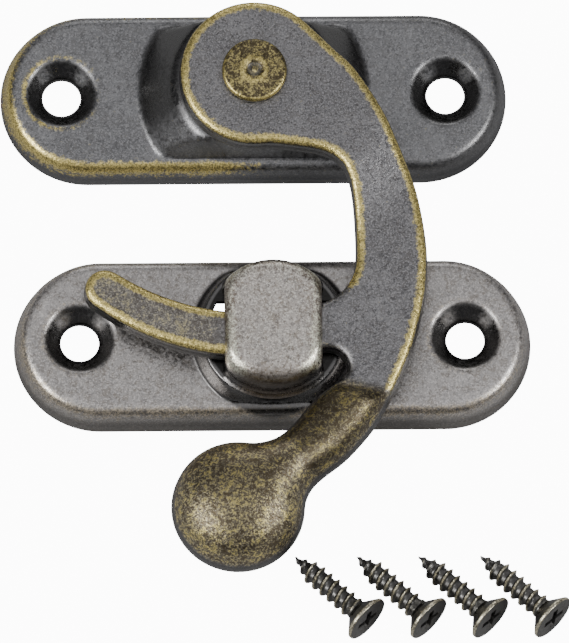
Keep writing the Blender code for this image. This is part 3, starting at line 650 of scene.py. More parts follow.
def arm_thick(p, edge):
    e = np.clip(edge / EDGE_R, 0, 1)
    flat = ARM_T - EDGE_R * 0.72 * (1 - np.sqrt(1 - (1 - e) ** 2))
    r = np.hypot(p[:, 0] - BALL_DX, p[:, 1] - BALL_DY)
    k = 2.0 * (BALL_H - KNOB_WALL) / sqrt(BALL_R * (BALL_R - KNOB_DRAFT))       # exact for a ball
    k = k * (1 - 0.17 * smooth((r - 5.0) / 7.0))
    wall = 1.0 + (KNOB_WALL - 1.0) * np.clip(edge / KNOB_DRAFT, 0, 1)
    dome = k * (np.sqrt(swell(p) * np.clip(edge - KNOB_DRAFT, 0, None) + 0.02) - sqrt(0.02))
    m = smooth(past_line(p) / 1.9) * (p[:, 1] < -30.0)
    return flat * (1 - m) + (wall + dome) * m


insets = (0.03, 0.09, 0.18, 0.28, 0.40, 0.46, 0.53, 0.63, 0.77, 0.93, 1.13)
rings = []
for d in insets:
    q = inset_points(arm_loop, d)
    q = q[inside(q, arm_loop)]
    q = q[np.abs(edge_distance(q, arm_loop) - d) < 0.03 + 0.05 * d]
    rings.append(q)
rings = np.vstack(rings)
eye_rings = ring_points(0, 0, (2.3, 2.6, 3.0), 64)
grid = hex_grid(arm_loop.min(0), arm_loop.max(0), 0.36)
grid = grid[inside(grid, arm_loop)]
grid = grid[edge_distance(grid, arm_loop) > 1.25]
grid = grid[np.hypot(grid[:, 0], grid[:, 1]) > 3.25]
grid = nearest_keep(grid, rings, 0.2)
draft_loop = arm_loop                                       # top skin edge
pts = np.vstack([rings, eye_rings, grid])


def arm_top(p):
    return arm_back(p) + arm_thick(p, edge_distance(p, arm_loop))


eye_hole = circle(0, 0, PIN_HOLE_R, 64)
side = []
for z, out in ((1.15, 0.0), (0.98, 0.0), (0.9, 0.03), (0.5, 0.07), (0.14, 0.12), (0.0, 0.04)):
    loop = arm_loop + (arm_foot - arm_loop) * (out / 0.12)
    top_edge = arm_top(arm_loop) - arm_back(arm_loop)
    side.append(np.c_[loop, arm_back(loop) + np.minimum(z, top_edge - 0.02 - 0.05 * (1.15 - z))])
v, f = slab(arm_loop, [eye_hole], pts, arm_top, arm_back, side)
v = v + np.array([PX, PY, 0])
arm = build("latch_swing_arm", v, f, 45)


# ---- rivet -----------------------------------------------------------------------------------
def turned(name, profile, n, cx, cy, sharp=45):
    verts, faces, loops = [], [], []
    count = 0
    for r, z in profile:
        if r < 1e-9:
            loops.append([count])
            verts.append(np.array([[cx, cy, z]]))
            count += 1
        else:
            loops.append(list(range(count, count + n)))
            verts.append(np.c_[circle(cx, cy, r, n), np.full(n, z)])
            count += n
    for a, b in zip(loops, loops[1:]):
        for i in range(n):
            j = (i + 1) % n
            if len(a) == 1:
                faces.append((a[0], b[j], b[i]))
            elif len(b) == 1:
                faces.append((a[i], a[j], b[0]))
            else:
                faces.append((a[i], a[j], b[j], b[i]))
    return build(name, np.vstack(verts), faces, sharp)


T = RIVET_TOP
prof = [(0.0, RIVET_LOW), (2.2, RIVET_LOW)]
prof += [(2.2 + 0.75 * sin(a), RIVET_LOW + 0.6 * (1 - cos(a))) for a in np.linspace(0.2, pi / 2, 7)]
prof += [(2.98, 6.25), (2.0, 6.25), (2.0, 10.25), (RIVET_R - 0.08, 10.25), (RIVET_R, 10.32), (RIVET_R, T - 0.52)]
prof += [(RIVET_R - 0.42 * (1 - cos(a)), T - 0.52 + 0.36 * sin(a)) for a in np.linspace(0.15, pi / 2, 9)]
prof += [(2.5, T - 0.155), (2.2, T - 0.15), (1.95, T - 0.13), (1.7, T - 0.09), (1.45, T - 0.04), (1.25, T - 0.008),
         (1.08, T), (0.94, T - 0.012), (0.84, T - 0.06), (0.76, T - 0.16), (0.66, T - 0.24), (0.5, T - 0.27),
         (0.34, T - 0.25), (0.2, T - 0.19), (0.1, T - 0.15), (0.0, T - 0.14)]
rivet = turned("latch_pivot_rivet", prof, 96, PX, PY)


# ---- screws ----------------------------------------------------------------------------------
def screw_radius(s, turn):
    head_end = SCREW_HEAD_R - SCREW_R + 0.25
    taper = np.minimum(1.0, (SCREW_L - s) / 2.4)
    ph = (s / SCREW_PITCH - turn) % 1.0
    crest = np.clip(1.0 - np.abs(ph - 0.5) / 0.27, 0, 1) ** 0.85
    fade = smooth((s - head_end) / 0.9)
    neck = SCREW_CORE + 0.2 * (1 - smooth((s - head_end) / 1.2))
    return np.maximum(SCREW_CORE * taper, neck * taper) + (SCREW_R - SCREW_CORE) * (0.25 + 0.75 * taper) * crest * fade


def screw_mesh(name, n=48, per_turn=16):
    verts, loops, count = [], [], 0
    ang = 2 * pi * np.arange(n) / n

    def ring(s, r):
        nonlocal count
        verts.append(np.c_[np.broadcast_to(s, (n,)), r * np.cos(ang), r * np.sin(ang)])
        loops.append(list(range(count, count + n)))
        count += n

    dome = 0.0
    for a in np.linspace(0, pi / 2, 6):
        ring(0.13 - 0.13 * cos(a) + 0.0, SCREW_HEAD_R - 0.13 + 0.13 * sin(a))
    ring(0.32, SCREW_HEAD_R)
    ring(0.36, SCREW_HEAD_R - 0.02)
    s0 = SCREW_HEAD_R - SCREW_R + 0.35
    for t in np.linspace(0.1, 0.95, 8):
        ring(0.36 + (s0 - 0.36) * t, (SCREW_HEAD_R - 0.02) * (1 - t) + float(screw_radius(np.array(s0), 0.0)) * t)
    k = 0
    while True:
        s = s0 + k * SCREW_PITCH / per_turn
        if s > SCREW_L - 0.08:
            break
        ring(s, screw_radius(np.full(n, s), np.arange(n) / n))
        k += 1
    verts.append(np.array([[SCREW_L, 0, 0]]))
    verts.append(np.array([[0.0, 0, 0]]))
    tip, cap = count, count + 1
    faces = []
    for a, b in zip(loops, loops[1:]):
        for i in range(n):
            j = (i + 1) % n
            faces.append((a[i], b[i], b[j], a[j]))
    for i in range(n):
        j = (i + 1) % n
        faces.append((loops[-1][i], tip, loops[-1][j]))
        faces.append((cap, loops[0][i], loops[0][j]))
    return build(name, np.vstack(verts), faces, 40)


def cross_cutter(name):
    def ring(x, arm, w):
        c = [(arm, w), (w, w), (w, arm), (-w, arm), (-w, w), (-arm, w), (-arm, -w), (-w, -w), (-w, -arm),
             (w, -arm), (w, -w), (arm, -w)]
        return [(x, a, b) for a, b in c]
    v = ring(-0.4, 1.52, 0.36) + ring(0.9, 0.95, 0.27) + ring(1.35, 0.42, 0.2)
    f = [tuple(range(12)), tuple(range(35, 23, -1))]
    for a in (0, 12):
        f += [(a + i, a + (i + 1) % 12, a + 12 + (i + 1) % 12, a + 12 + i) for i in range(12)]
    return build(name, v, f)


SCREW_TURN = -44.0
SCREW_HEADS = ((10.65, -54.15), (16.75, -54.15), (22.85, -54.15), (28.95, -54.15))
lean = atan2(SCREW_HEAD_R - SCREW_R - 0.02, SCREW_L - 2.2)
master = screw_mesh("latch_screw_master")
apply_booleans(master, [(cross_cutter("cross_cutter"), "DIFFERENCE")])
master.data.shade_smooth()
master.data.set_sharp_from_angle(angle=radians(38))
screws = []
for k, (hx, hy) in enumerate(SCREW_HEADS):
    ob = bpy.data.objects.new(f"latch_screw_{k + 1}", master.data.copy())
    bpy.context.collection.objects.link(ob)
    rot = Matrix.Rotation(radians(180 + SCREW_TURN), 4, "Z") @ Matrix.Rotation(lean, 4, "Y") \
        @ Matrix.Rotation(radians(20 + 90 * k), 4, "X")
    loc = Vector(((PX + hx) * MM, (PY + hy) * MM, (SCREW_HEAD_R * cos(lean) + 0.05) * MM))
    ob.data.transform(Matrix.Translation(loc) @ rot)
    screws.append(ob)
bpy.data.objects.remove(master, do_unlink=True)


# ---- materials -------------------------------------------------------------------------------
class Nodes:
    def __init__(self, name):
        self.mat = bpy.data.materials.new(name)
        self.mat.use_nodes = True
        self.t = self.mat.node_tree
        self.bsdf = self.t.nodes["Principled BSDF"]
        self.co = self.add("ShaderNodeTexCoord")

    def add(self, kind, **kw):
        n = self.t.nodes.new(kind)
        for k, val in kw.items():
            setattr(n, k, val)
        return n

    def link(self, a, b):
        self.t.links.new(a, b)

    def put(self, sock, val):
        if hasattr(val, "is_output") or hasattr(val, "links"):
            self.link(val, sock)
        else:
            sock.default_value = val

    def noise(self, scale, detail=4.0, rough=0.6, distort=0.0, off=0.0, dim="3D"):
        m = self.add("ShaderNodeMapping")
        m.inputs["Location"].default_value = (off, off * 1.7, off * 0.6)
        self.link(self.co.outputs["Object"], m.inputs["Vector"])
        n = self.add("ShaderNodeTexNoise")
        n.inputs["Scale"].default_value = scale
        n.inputs["Detail"].default_value = detail
        n.inputs["Roughness"].default_value = rough
        n.inputs["Distortion"].default_value = distort
        self.link(m.outputs[0], n.inputs["Vector"])
        return n.outputs["Fac"]

    def math(self, op, a, b=None, clamp=False):
        n = self.add("ShaderNodeMath", operation=op, use_clamp=clamp)
        self.put(n.inputs[0], a)
        if b is not None:
            self.put(n.inputs[1], b)
        return n.outputs[0]

    def ramp(self, fac, lo, hi, a=0.0, b=1.0, smoothstep=True):
        n = self.add("ShaderNodeMapRange", interpolation_type="SMOOTHSTEP" if smoothstep else "LINEAR")
        self.put(n.inputs["Value"], fac)
        n.inputs["From Min"].default_value = lo
        n.inputs["From Max"].default_value = hi
        n.inputs["To Min"].default_value = a
        n.inputs["To Max"].default_value = b
        return n.outputs["Result"]

    def mix(self, fac, a, b, mode="MIX"):
        n = self.add("ShaderNodeMix", data_type="RGBA", blend_type=mode)
        self.put(n.inputs[0], fac)
        for s, val in ((n.inputs[6], a), (n.inputs[7], b)):
            if isinstance(val, tuple):
                s.default_value = (*val, 1.0)
            else:
                self.link(val, s)
        return n.outputs[2]

    def attr(self, name):
        n = self.add("ShaderNodeAttribute", attribute_name=name)
        return n.outputs["Fac"]


def bronze(name, base, gold=(0.80, 0.66, 0.25), side=None, dark=(0.115, 0.113, 0.112), tint=(1.0, 1.0, 1.0),
           seed=0.0, grain=1.0, rough=0.38, bump=0.35, gold_amount=1.0, brown=(0.115, 0.088, 0.045), stains=0.35, shade=0.25):
    """Antique plating. Point attributes say where it is rubbed to brass, with painted highlights (band),
    blackened, mostly as painted shade and painted dark reflections (dark), a smooth side (side), or mottled
    all over (mottle); curvature (wear) adds to them."""
    n = Nodes(name)
    side = side or base
    wear, band, darkv = n.attr("wear"), n.attr("band"), n.attr("dark")
    sidev, mott = n.attr("side"), n.attr("mottle")
    fine = n.noise(2700, 3, 0.70, 0.5, seed)            # about 0.37 mm
    grit = n.noise(5600, 2, 0.7, 0.0, seed + 11.3)      # about 0.18 mm
    mid = n.noise(1250, 5, 0.70, 1.2, seed + 3.1)       # about 0.8 mm
    big = n.noise(230, 3, 0.55, 0.5, seed + 7.7)        # about 4 mm
    calm = n.math("SUBTRACT", 1.0, n.math("MULTIPLY", sidev, 0.75))
    # patina: fine light and dark grain over slow patches
    c = n.mix(n.ramp(big, 0.36, 0.66), tuple(0.90 * x * t for x, t in zip(base, tint)), tuple(1.12 * x for x in base))
    c = n.mix(sidev, c, side)
    stain = n.math("MULTIPLY", n.ramp(mid, 0.53, 0.40, 0.0, stains), calm)
    c = n.mix(stain, c, tuple(0.62 * x * t for x, t in zip(base, (1.04, 0.98, 0.90))))
    dip = n.math("MULTIPLY", n.ramp(fine, 0.50, 0.38, 0.0, 0.85 * grain), calm)
    c = n.mix(dip, c, tuple(0.34 * x for x in base))
    lift = n.math("MULTIPLY", n.ramp(grit, 0.50, 0.62, 0.0, 0.85 * grain), calm)
    c = n.mix(lift, c, tuple(min(1.0, 1.9 * x) for x in base))
    # brass: rubbed brass along edges, and painted highlights where the band attribute carries them
    noise_a = n.math("MULTIPLY", n.math("SUBTRACT", fine, 0.5), 1.5)
    noise_b = n.math("MULTIPLY", n.math("SUBTRACT", mid, 0.5), 1.5)
    w = n.math("ADD", n.math("ADD", band, n.math("MULTIPLY", wear, 0.18)), n.math("ADD", noise_a, noise_b))
    rub_and_highlight = n.ramp(w, 0.30, 0.86, 0.0, gold_amount)
    blotch = n.math("ADD", n.math("MULTIPLY", n.math("SUBTRACT", mid, 0.5), 2.2),
                    n.math("ADD", n.math("MULTIPLY", n.math("SUBTRACT", fine, 0.5), 1.7),
                           n.math("MULTIPLY", n.math("SUBTRACT", grit, 0.5), 1.2)))
    slow = n.noise(480, 3, 0.6, 1.0, seed + 15.9)       # about 2 mm
    blotch = n.math("ADD", blotch, n.math("MULTIPLY", n.math("SUBTRACT", slow, 0.53), 1.3))
    mot = n.math("MULTIPLY", n.ramp(blotch, -0.20, 0.46, 0.0, 0.95), mott)
    c = n.mix(n.math("MULTIPLY", mott, n.ramp(blotch, 0.20, -0.34, 0.0, 0.9)), c, brown)
    rub_and_highlight = n.math("MAXIMUM", rub_and_highlight, mot)
    gold_c = n.mix(n.ramp(grit, 0.38, 0.60), tuple(0.46 * x for x in gold), tuple(min(1.0, 1.15 * x) for x in gold))
    c = n.mix(rub_and_highlight, c, gold_c)
    # darkened: in concave hollows, and as painted shade and painted dark reflections where the dark attribute is set
    dk = n.math("ADD", darkv, n.ramp(wear, -0.35, -1.1, 0.0, 0.7), clamp=True)
    dk = n.math("MULTIPLY", dk, n.ramp(n.math("ADD", fine, n.math("MULTIPLY", mid, 0.6)), 1.10, 0.84, 0.86, 1.0))
    c = n.mix(dk, c, dark)
    # near-black painted shade where dark goes above 1: the ring beside the bridge and the screws' cross recess
    c = n.mix(n.ramp(darkv, 1.0, 1.15), c, (0.03, 0.029, 0.028))
    # dim darkens towards brown: painted shade on the arm's neck and the bridge's lower edge, a darker tone elsewhere
    c = n.mix(n.math("MULTIPLY", n.attr("dim"), 0.85), c, tuple(shade * x for x in brown))
    n.link(c, n.bsdf.inputs["Base Color"])
    n.bsdf.inputs["Metallic"].default_value = 1.0
    r = n.ramp(fine, 0.34, 0.66, rough - 0.08, rough + 0.12)
    r = n.math("SUBTRACT", r, n.ramp(darkv, 0.65, 1.0, 0.0, 0.18))
    r = n.math("ADD", r, n.math("MULTIPLY", mott, 0.05))
    r = n.math("SUBTRACT", r, n.math("MULTIPLY", rub_and_highlight, 0.05))
    n.link(r, n.bsdf.inputs["Roughness"])
    b = n.add("ShaderNodeBump")
    n.link(n.math("MULTIPLY", n.math("SUBTRACT", 1.0, n.math("MULTIPLY", n.math("MAXIMUM", sidev, darkv), 0.7)), bump),
           b.inputs["Strength"])
    b.inputs["Distance"].default_value = 0.00007
    h = n.math("ADD", n.math("MULTIPLY", mid, 0.9), n.math("MULTIPLY", fine, 0.7))
    n.link(h, b.inputs["Height"])
    n.link(b.outputs[0], n.bsdf.inputs["Normal"])
    return n.mat


GOLD = (0.80, 0.66, 0.25)
CREAM = (0.98, 0.87, 0.72)
plate_mat = bronze("plate_bronze_dark", (0.235, 0.235, 0.24), GOLD, side=(0.14, 0.14, 0.145), seed=1.0, grain=0.6)
catch_mat = bronze("plate_bronze_grey", (0.475, 0.455, 0.44), (0.62, 0.53, 0.39), side=(0.185, 0.175, 0.165), seed=2.0,
                   grain=0.55, gold_amount=0.8, stains=0.8)
bridge_mat = bronze("bridge_bronze", (0.55, 0.51, 0.47), CREAM, side=(0.20, 0.18, 0.16), seed=2.6, grain=0.75,
                    gold_amount=1.0, stains=0.9, brown=(0.19, 0.138, 0.092), shade=0.6)
arm_mat = bronze("arm_bronze_worn", (0.230, 0.226, 0.230), GOLD, side=(0.14, 0.137, 0.135), seed=3.0, bump=0.7,
                 stains=0.5, grain=0.75, brown=(0.155, 0.122, 0.070))
rivet_mat = bronze("rivet_bronze_worn", (0.14, 0.125, 0.09), GOLD, seed=4.0, bump=0.7)
screw_mat = bronze("screw_bronze_dark", (0.13, 0.127, 0.118), (0.66, 0.61, 0.46), seed=5.0, bump=0.3, grain=0.6)


def bell(x, mid, half):
    return smooth(1 - np.abs(x - mid) / half)


def facing(p, cx, cy, dx, dy, lo, hi):
    """Factor between lo and hi by how far a point lies towards (dx, dy) from a centre."""
    q = p[:, :2] - np.array([cx, cy])
    c = (q @ np.array([dx, dy])) / (np.hypot(q[:, 0], q[:, 1]) * hypot(dx, dy) + 1e-9)
    return lo + (hi - lo) * smooth(0.5 + 0.5 * c)


def normals(ob):
    no = np.empty(len(ob.data.vertices) * 3, np.float32)
    ob.data.vertices.foreach_get("normal", no)
    return no.reshape(-1, 3).astype(float)


def put(ob, **values):
    co = np.empty(len(ob.data.vertices) * 3, np.float32)
    ob.data.vertices.foreach_get("co", co)
    co = co.reshape(-1, 3).astype(float) / MM
    no = normals(ob)
    for key in ("band", "dark", "side", "mottle", "dim"):
        v = values[key](co, no) if key in values else np.zeros(len(co))
        at = ob.data.attributes.get(key) or ob.data.attributes.new(key, "FLOAT", "POINT")
        at.data.foreach_set("value", np.broadcast_to(np.clip(v, 0, 1.2), (len(co),)).astype(np.float32).copy())


def finish_piece(ob, mat, body, node, passes=2):
    curvature(ob, passes)
    ob.data.materials.clear()
    ob.data.materials.append(mat)
    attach(ob, body)
    if node:
        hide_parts(*node)


def plate_fields(cx, cy, half, flare_deg, face, strength, right_fade):
    f = radians(flare_deg)
    shrink = BEND_R * cos(f) + (face - BEND_R * (1 - sin(f))) * tan(f)
    flat = stadium(cx, cy, half[0] - shrink, half[1] - shrink)

    def signed(co):
        d = edge_distance(co[:, :2], flat)
        return np.where(inside(co[:, :2], flat), -d, d)

    def hole_r(co):
        return np.minimum(*[np.hypot(co[:, 0] - cx - s * HOLE_PITCH / 2, co[:, 1] - cy) for s in (-1, 1)])

    def middle(axis):
        """How far out from the flat face the brass band and its painted highlight are centred: lower on the bend at the
        bottom edge.
        """
        return 1.22 + 0.34 * np.minimum(axis[:, 1], 0) + 0.18 * np.maximum(axis[:, 1], 0)

    def band(co, no):
        s = signed(co)
        # brass rubbed on the bend, weighted as a painted highlight: strongest to the lower left and along the bottom,
        # thin at the top and right
        near_edge = np.abs(s) < 2.2
        q = co[:, :2] - np.array([cx, cy])
        e = half[0] - half[1]
        axis = q.copy()
        axis[:, 0] = q[:, 0] - np.clip(q[:, 0], -e, e)
        axis /= np.maximum(np.hypot(axis[:, 0], axis[:, 1]), 1e-6)[:, None]
        lean = 0.5 + 0.5 * (axis @ np.array([-0.62, -0.78]))
        v = bell(s, middle(axis) - 0.12, 0.98) * (0.42 + 0.62 * smooth(lean)) * near_edge * strength
        if right_fade:
            v = v * smooth((-q[:, 0] + 4.0) / 9.0)
        r = hole_r(co)
        hx = np.where(q[:, 0] < 0, -1, 1) * HOLE_PITCH / 2
        left = 0.5 + 0.5 * (hx - q[:, 0]) / np.maximum(r, 1e-6)
        # brass ring round each countersink, brighter on its left side as a painted highlight
        ring = bell(r, 3.75, 0.55) * (0.25 + 0.45 * left) * strength
        if right_fade:
            ring = ring * smooth((-q[:, 0] + 4.0) / 9.0)
        v = np.maximum(v, ring)
        return v * (no[:, 2] > 0.12)

    def side(co, no):
        q = co[:, :2] - np.array([cx, cy])
        e = half[0] - half[1]
        axis = q.copy()
        axis[:, 0] = q[:, 0] - np.clip(q[:, 0], -e, e)
        axis /= np.maximum(np.hypot(axis[:, 0], axis[:, 1]), 1e-6)[:, None]
        return smooth((signed(co) - middle(axis) - 0.25) / 0.35) * (no[:, 2] > -0.3)
    return signed, hole_r, band, side


curv = None
sg_a, hr_a, band_a, side_a = plate_fields(PX, PY, ARM_PLATE_HALF, ARM_PLATE_FLARE, ARM_PLATE_FACE, 1.0, True)
sg_c, hr_c, band_c, side_c = plate_fields(CX, CY, CATCH_HALF, CATCH_FLARE, CATCH_FACE, 0.66, False)


# countersinks darkened as painted shade, lightened at two spots on the upper wall as painted highlights
def hole_dark(co, cx, cy, hole_r):
    hx = cx + np.where(co[:, 0] < cx, -1, 1) * HOLE_PITCH / 2
    ang = np.degrees(np.arctan2(co[:, 1] - cy, co[:, 0] - hx))
    r = hole_r(co)
    painted_glint = np.maximum(bell(ang, 128, 24), 0.8 * bell(ang, 42, 22)) * bell(r, 2.6, 0.75)
    return smooth((3.62 - r) / 0.45) * (0.88 - 0.85 * painted_glint)


def dark_arm_plate(co, no):
    r = np.hypot(co[:, 0] - PX, co[:, 1] - PY)
    hole = hole_dark(co, PX, PY, hr_a)
    # painted dark reflection on the boss flank, lightened to the lower left as a painted highlight
    flank = smooth((co[:, 2] - ARM_PLATE_FACE - 0.08) / 0.35) * smooth((r - 6.9) / 0.5) * 0.92
    ang = np.degrees(np.arctan2(co[:, 1] - PY, co[:, 0] - PX))
    flank = flank * (1 - 0.75 * bell(ang, -142, 26))
    bend = bell(sg_a(co), 0.9, 1.0) * smooth((co[:, 0] - PX - 6.0) / 8.0) * 0.55 * (no[:, 2] > 0.1)
    # painted shade on the underside
    back = (no[:, 2] < -0.2) * 0.6
    return np.maximum(np.maximum(np.maximum(hole, flank), back), bend)


def dark_catch(co, no):
    r = np.hypot(co[:, 0] - CX, co[:, 1] - CY)
    hole = hole_dark(co, CX, CY, hr_c)
    # painted shade round the bridge, near-black right next to it
    ring = smooth((8.2 - r) / 0.35) * 0.9 + smooth((6.9 - r) / 0.4) * 0.3
    # painted shade on the underside
    back = (no[:, 2] < -0.2) * 0.6
    return np.maximum(np.maximum(hole, ring), back)


put(arm_plate, band=band_a, side=side_a, dark=dark_arm_plate)
put(catch_plate, band=band_c, side=side_c, dark=dark_catch)
finish_piece(arm_plate, plate_mat, "plates", ["arm_plate"])
finish_piece(catch_plate, catch_mat, "plates", ["catch_plate"])


def bridge_band(co, no):
    # cream band on the rounded edge as a painted highlight, strongest at the two lower corners; a thin painted
    # highlight on the upper shoulders
    q = co[:, :2] - np.array([CX, CY])
    d = edge_distance(co[:, :2], cap_loop)
    edge = bell(d, 0.6, 1.0) * (co[:, 2] > BRIDGE_TOP - 1.4)
    low = 0.35 + 0.65 * smooth((1.5 - q[:, 1]) / 5.0)
    corners = 0.75 + 0.6 * smooth((np.abs(q[:, 0]) - 1.2) / 2.2)
    shoulder = bell(d, 0.12, 0.3) * smooth((np.abs(q[:, 0]) - 1.6) / 1.2) * smooth((q[:, 1] - 3.2) / 1.0)
    bottom = smooth((-4.0 - q[:, 1]) / 1.0) * smooth((3.4 - np.abs(q[:, 0])) / 1.4)
    return np.maximum(edge * low * corners * (1 - 0.9 * bottom), 1.1 * shoulder)


def bridge_dark(co, no):
    q = co[:, :2] - np.array([CX, CY])
    d = edge_distance(co[:, :2], cap_loop)
    # painted shade on the legs below the cap, near the upper edge, and along the bottom edge
    low = smooth((BRIDGE_TOP - 1.35 - co[:, 2]) / 0.7)
    under_top = bell(d, 0.1, 0.45) * smooth((q[:, 1] - 1.0) / 3.5) * 0.55 * smooth((2.4 - np.abs(q[:, 0])) / 0.8)
    foot = bell(d, -0.05, 0.95) * smooth((-4.2 - q[:, 1]) / 1.2) * 0.75
    return np.maximum(np.maximum(low * 0.85, under_top), foot)


def bridge_mottle(co, no):
    q = co[:, :2] - np.array([CX, CY])
    d = edge_distance(co[:, :2], cap_loop)
    around = bell(d, 0.7, 1.3) * 0.45
    return around * smooth((q[:, 1] + 4.6) / 1.0) * (co[:, 2] > BRIDGE_TOP - 1.5)


def bridge_dim(co, no):
    """Painted shade, browner, towards the lower edge, and darker near the side edges; the two lower corners are left
    bright as a painted highlight.
    """
    q = co[:, :2] - np.array([CX, CY])
    d = edge_distance(co[:, :2], cap_loop)
    return np.maximum(smooth((-4.3 - q[:, 1]) / 1.2) * smooth((4.0 - np.abs(q[:, 0])) / 1.6) * 0.62,
                      bell(d, 0.15, 0.6) * 0.35 * smooth((q[:, 1] + 3.4) / 1.5) * (q[:, 1] < 4.2))


put(bridge, dim=bridge_dim, band=bridge_band, dark=bridge_dark, mottle=bridge_mottle, side=lambda co, no: smooth((BRIDGE_TOP - 1.0 - co[:, 2]) / 0.6) * 0.8)
finish_piece(bridge, bridge_mat, "plates", None)


def rivet_r(co):
    return np.hypot(co[:, 0] - PX, co[:, 1] - PY)


# rivet rim band brighter towards the lower left as a painted highlight
put(rivet, dim=lambda co, no: 0.22 * (rivet_r(co) > 1.3),
    band=lambda co, no: np.maximum(bell(rivet_r(co), RIVET_R - 0.12, 0.3) * facing(co, PX, PY, -0.35, -0.9, 0.35, 1.05),
                                   bell(rivet_r(co), 1.25, 0.55) * 0.8),
    mottle=lambda co, no: 0.8 * smooth((RIVET_R - 0.05 - rivet_r(co)) / 0.3),
    dark=lambda co, no: (rivet_r(co) > 1.5) * (co[:, 2] < RIVET_TOP - 0.9) * 0.8)
finish_piece(rivet, rivet_mat, "plates", ["pivot_rivet"])


def arm_edge(co):
    p = co[:, :2] - np.array([PX, PY])
    d = edge_distance(p, arm_loop)
    return np.where(inside(p, arm_loop), d, -d)


def knob(co):
    p = co[:, :2] - np.array([PX, PY])
    return smooth(past_line(p) / 1.2 + 0.25) * (p[:, 1] < -30.0)


def on_top(co):
    p = co[:, :2] - np.array([PX, PY])
    return co[:, 2] > arm_back(p) + 1.3


def hook_zone(co):
    p = co[:, :2] - np.array([PX, PY])
    r = np.hypot(p[:, 0], p[:, 1])
    return smooth((-2.2 - p[:, 0]) / 3.0) * smooth((r - 22.5) / 1.0) * (p[:, 1] < -14) * (p[:, 1] > -31)


def arm_band(co, no):
    e = arm_edge(co)
    k = knob(co)
    v = bell(e, 0.42, 0.85) * on_top(co) * (1 - k)
    p = co[:, :2] - np.array([PX, PY])
    w = 1.0 + 0.2 * hook_zone(co)
    # no brass in the notch beside the bridge: painted shade
    notch = smooth((7.0 - np.hypot(p[:, 0] - 7.0, p[:, 1] + 27.5)) / 1.8) * (p[:, 0] < 11.0)
    return v * w * (1 - 0.85 * notch)


def arm_mottle(co, no):
    e = arm_edge(co)
    return np.maximum(knob(co) * smooth((e - 0.02) / 0.35), hook_zone(co) * 0.42 * smooth(e / 0.4)) * on_top(co)


def arm_side(co, no):
    e = arm_edge(co)
    k = knob(co)
    p = co[:, :2] - np.array([PX, PY])
    z = co[:, 2] - arm_back(p)
    wall = smooth((0.06 - e) / 0.05) * smooth((1.05 - z) / 0.15)
    return np.maximum(wall, k * smooth((0.25 - e) / 0.2))


def arm_dark(co, no):
    e = arm_edge(co)
    k = knob(co)
    p = co[:, :2] - np.array([PX, PY])
    z = co[:, 2] - arm_back(p)
    # painted dark reflection on the upper band of the side wall, painted shade where the neck rises from the flat face
    # and on the underside
    wall = smooth((0.10 - e) / 0.08) * smooth((z - 0.95) / 0.15) * (1 - k) * 0.9
    step = bell(past_line(p), 0.35, 0.9) * (p[:, 1] < -29.5) * smooth((e - 0.2) / 0.5) * 0.3
    back = (no[:, 2] < -0.5) * 0.5
    return np.maximum(np.maximum(wall, step), back)


def arm_dim(co, no):
    """Darker over the knob's crown, and painted shade on the right half of the neck."""
    e = arm_edge(co)
    p = co[:, :2] - np.array([PX, PY])
    far = np.hypot(p[:, 0] - BALL_DX, p[:, 1] - BALL_DY)
    across = (p[:, 0] - BALL_DX) * 0.80 - (p[:, 1] - BALL_DY) * 0.60
    ball = 0.52 * smooth((e - 0.6) / 3.4) * smooth((8.4 - far) / 2.0)
    neck = smooth((far - 6.4) / 2.0) * (0.36 + 0.42 * smooth((across + 2.2) / 2.2)) * smooth((e - 0.1) / 0.9)
    return knob(co) * np.maximum(ball, neck)


put(arm, dim=arm_dim, band=arm_band, mottle=arm_mottle, side=arm_side, dark=arm_dark)
finish_piece(arm, arm_mat, "arm", ["swing_arm"])

for k, ob in enumerate(screws):
    hx, hy = SCREW_HEADS[k]
    a = radians(180 + SCREW_TURN)
    top_c = np.array([PX + hx, PY + hy, SCREW_HEAD_R * cos(lean) + 0.05])
    axis = np.array([cos(a) * cos(lean), sin(a) * cos(lean), -sin(lean)])

    def along(co, top_c=top_c, axis=axis):
        q = co - top_c
        s = q @ axis
        return s, np.sqrt(np.maximum((q ** 2).sum(1) - s ** 2, 0))

    def s_band(co, no):
        s, r = along(co)
        head = bell(r, SCREW_HEAD_R - 0.02, 0.22) * (s > 0.02) * (s < 0.4) * 0.95
        crest = smooth((r - 1.04) / 0.12) * (s > 1.5) * 0.95
        return np.maximum(head, crest)

    def s_dark(co, no):
        s, r = along(co)
        root = smooth((0.95 - r) / 0.10) * (s > 1.6) * 0.55
        # painted shade in the cross recess
        recess = (s > 0.06) * (r < 1.75) * (s < 1.5) * 1.2
        face = (s < 0.02) * 0.62
        return np.maximum(np.maximum(root, recess), face)

    put(ob, band=s_band, dark=s_dark, mottle=lambda co, no: (along(co)[0] < 0.3) * 0.12)
    finish_piece(ob, screw_mat, "plates", [f"mounting_screw_{k + 1}"], 1)

# ---- floor, world, lights --------------------------------------------------------------------
bpy.ops.mesh.primitive_plane_add(size=6.0, location=(0, 0, -0.00002))
floor = bpy.context.object
floor.name = "floor"
n = Nodes("floor_pale")
n.bsdf.inputs["Base Color"].default_value = (0.42, 0.42, 0.42, 1)
n.bsdf.inputs["Roughness"].default_value = 0.9
path = n.add("ShaderNodeLightPath")
glow = n.add("ShaderNodeEmission")
glow.inputs["Color"].default_value = (1, 1, 1, 1)
glow.inputs["Strength"].default_value = 13.0
mixn = n.add("ShaderNodeMixShader")
n.link(n.math("MULTIPLY", path.outputs["Is Camera Ray"], 0.93), mixn.inputs[0])
n.link(n.bsdf.outputs[0], mixn.inputs[1])
n.link(glow.outputs[0], mixn.inputs[2])
n.link(mixn.outputs[0], n.t.nodes["Material Output"].inputs["Surface"])
floor.data.materials.append(n.mat)

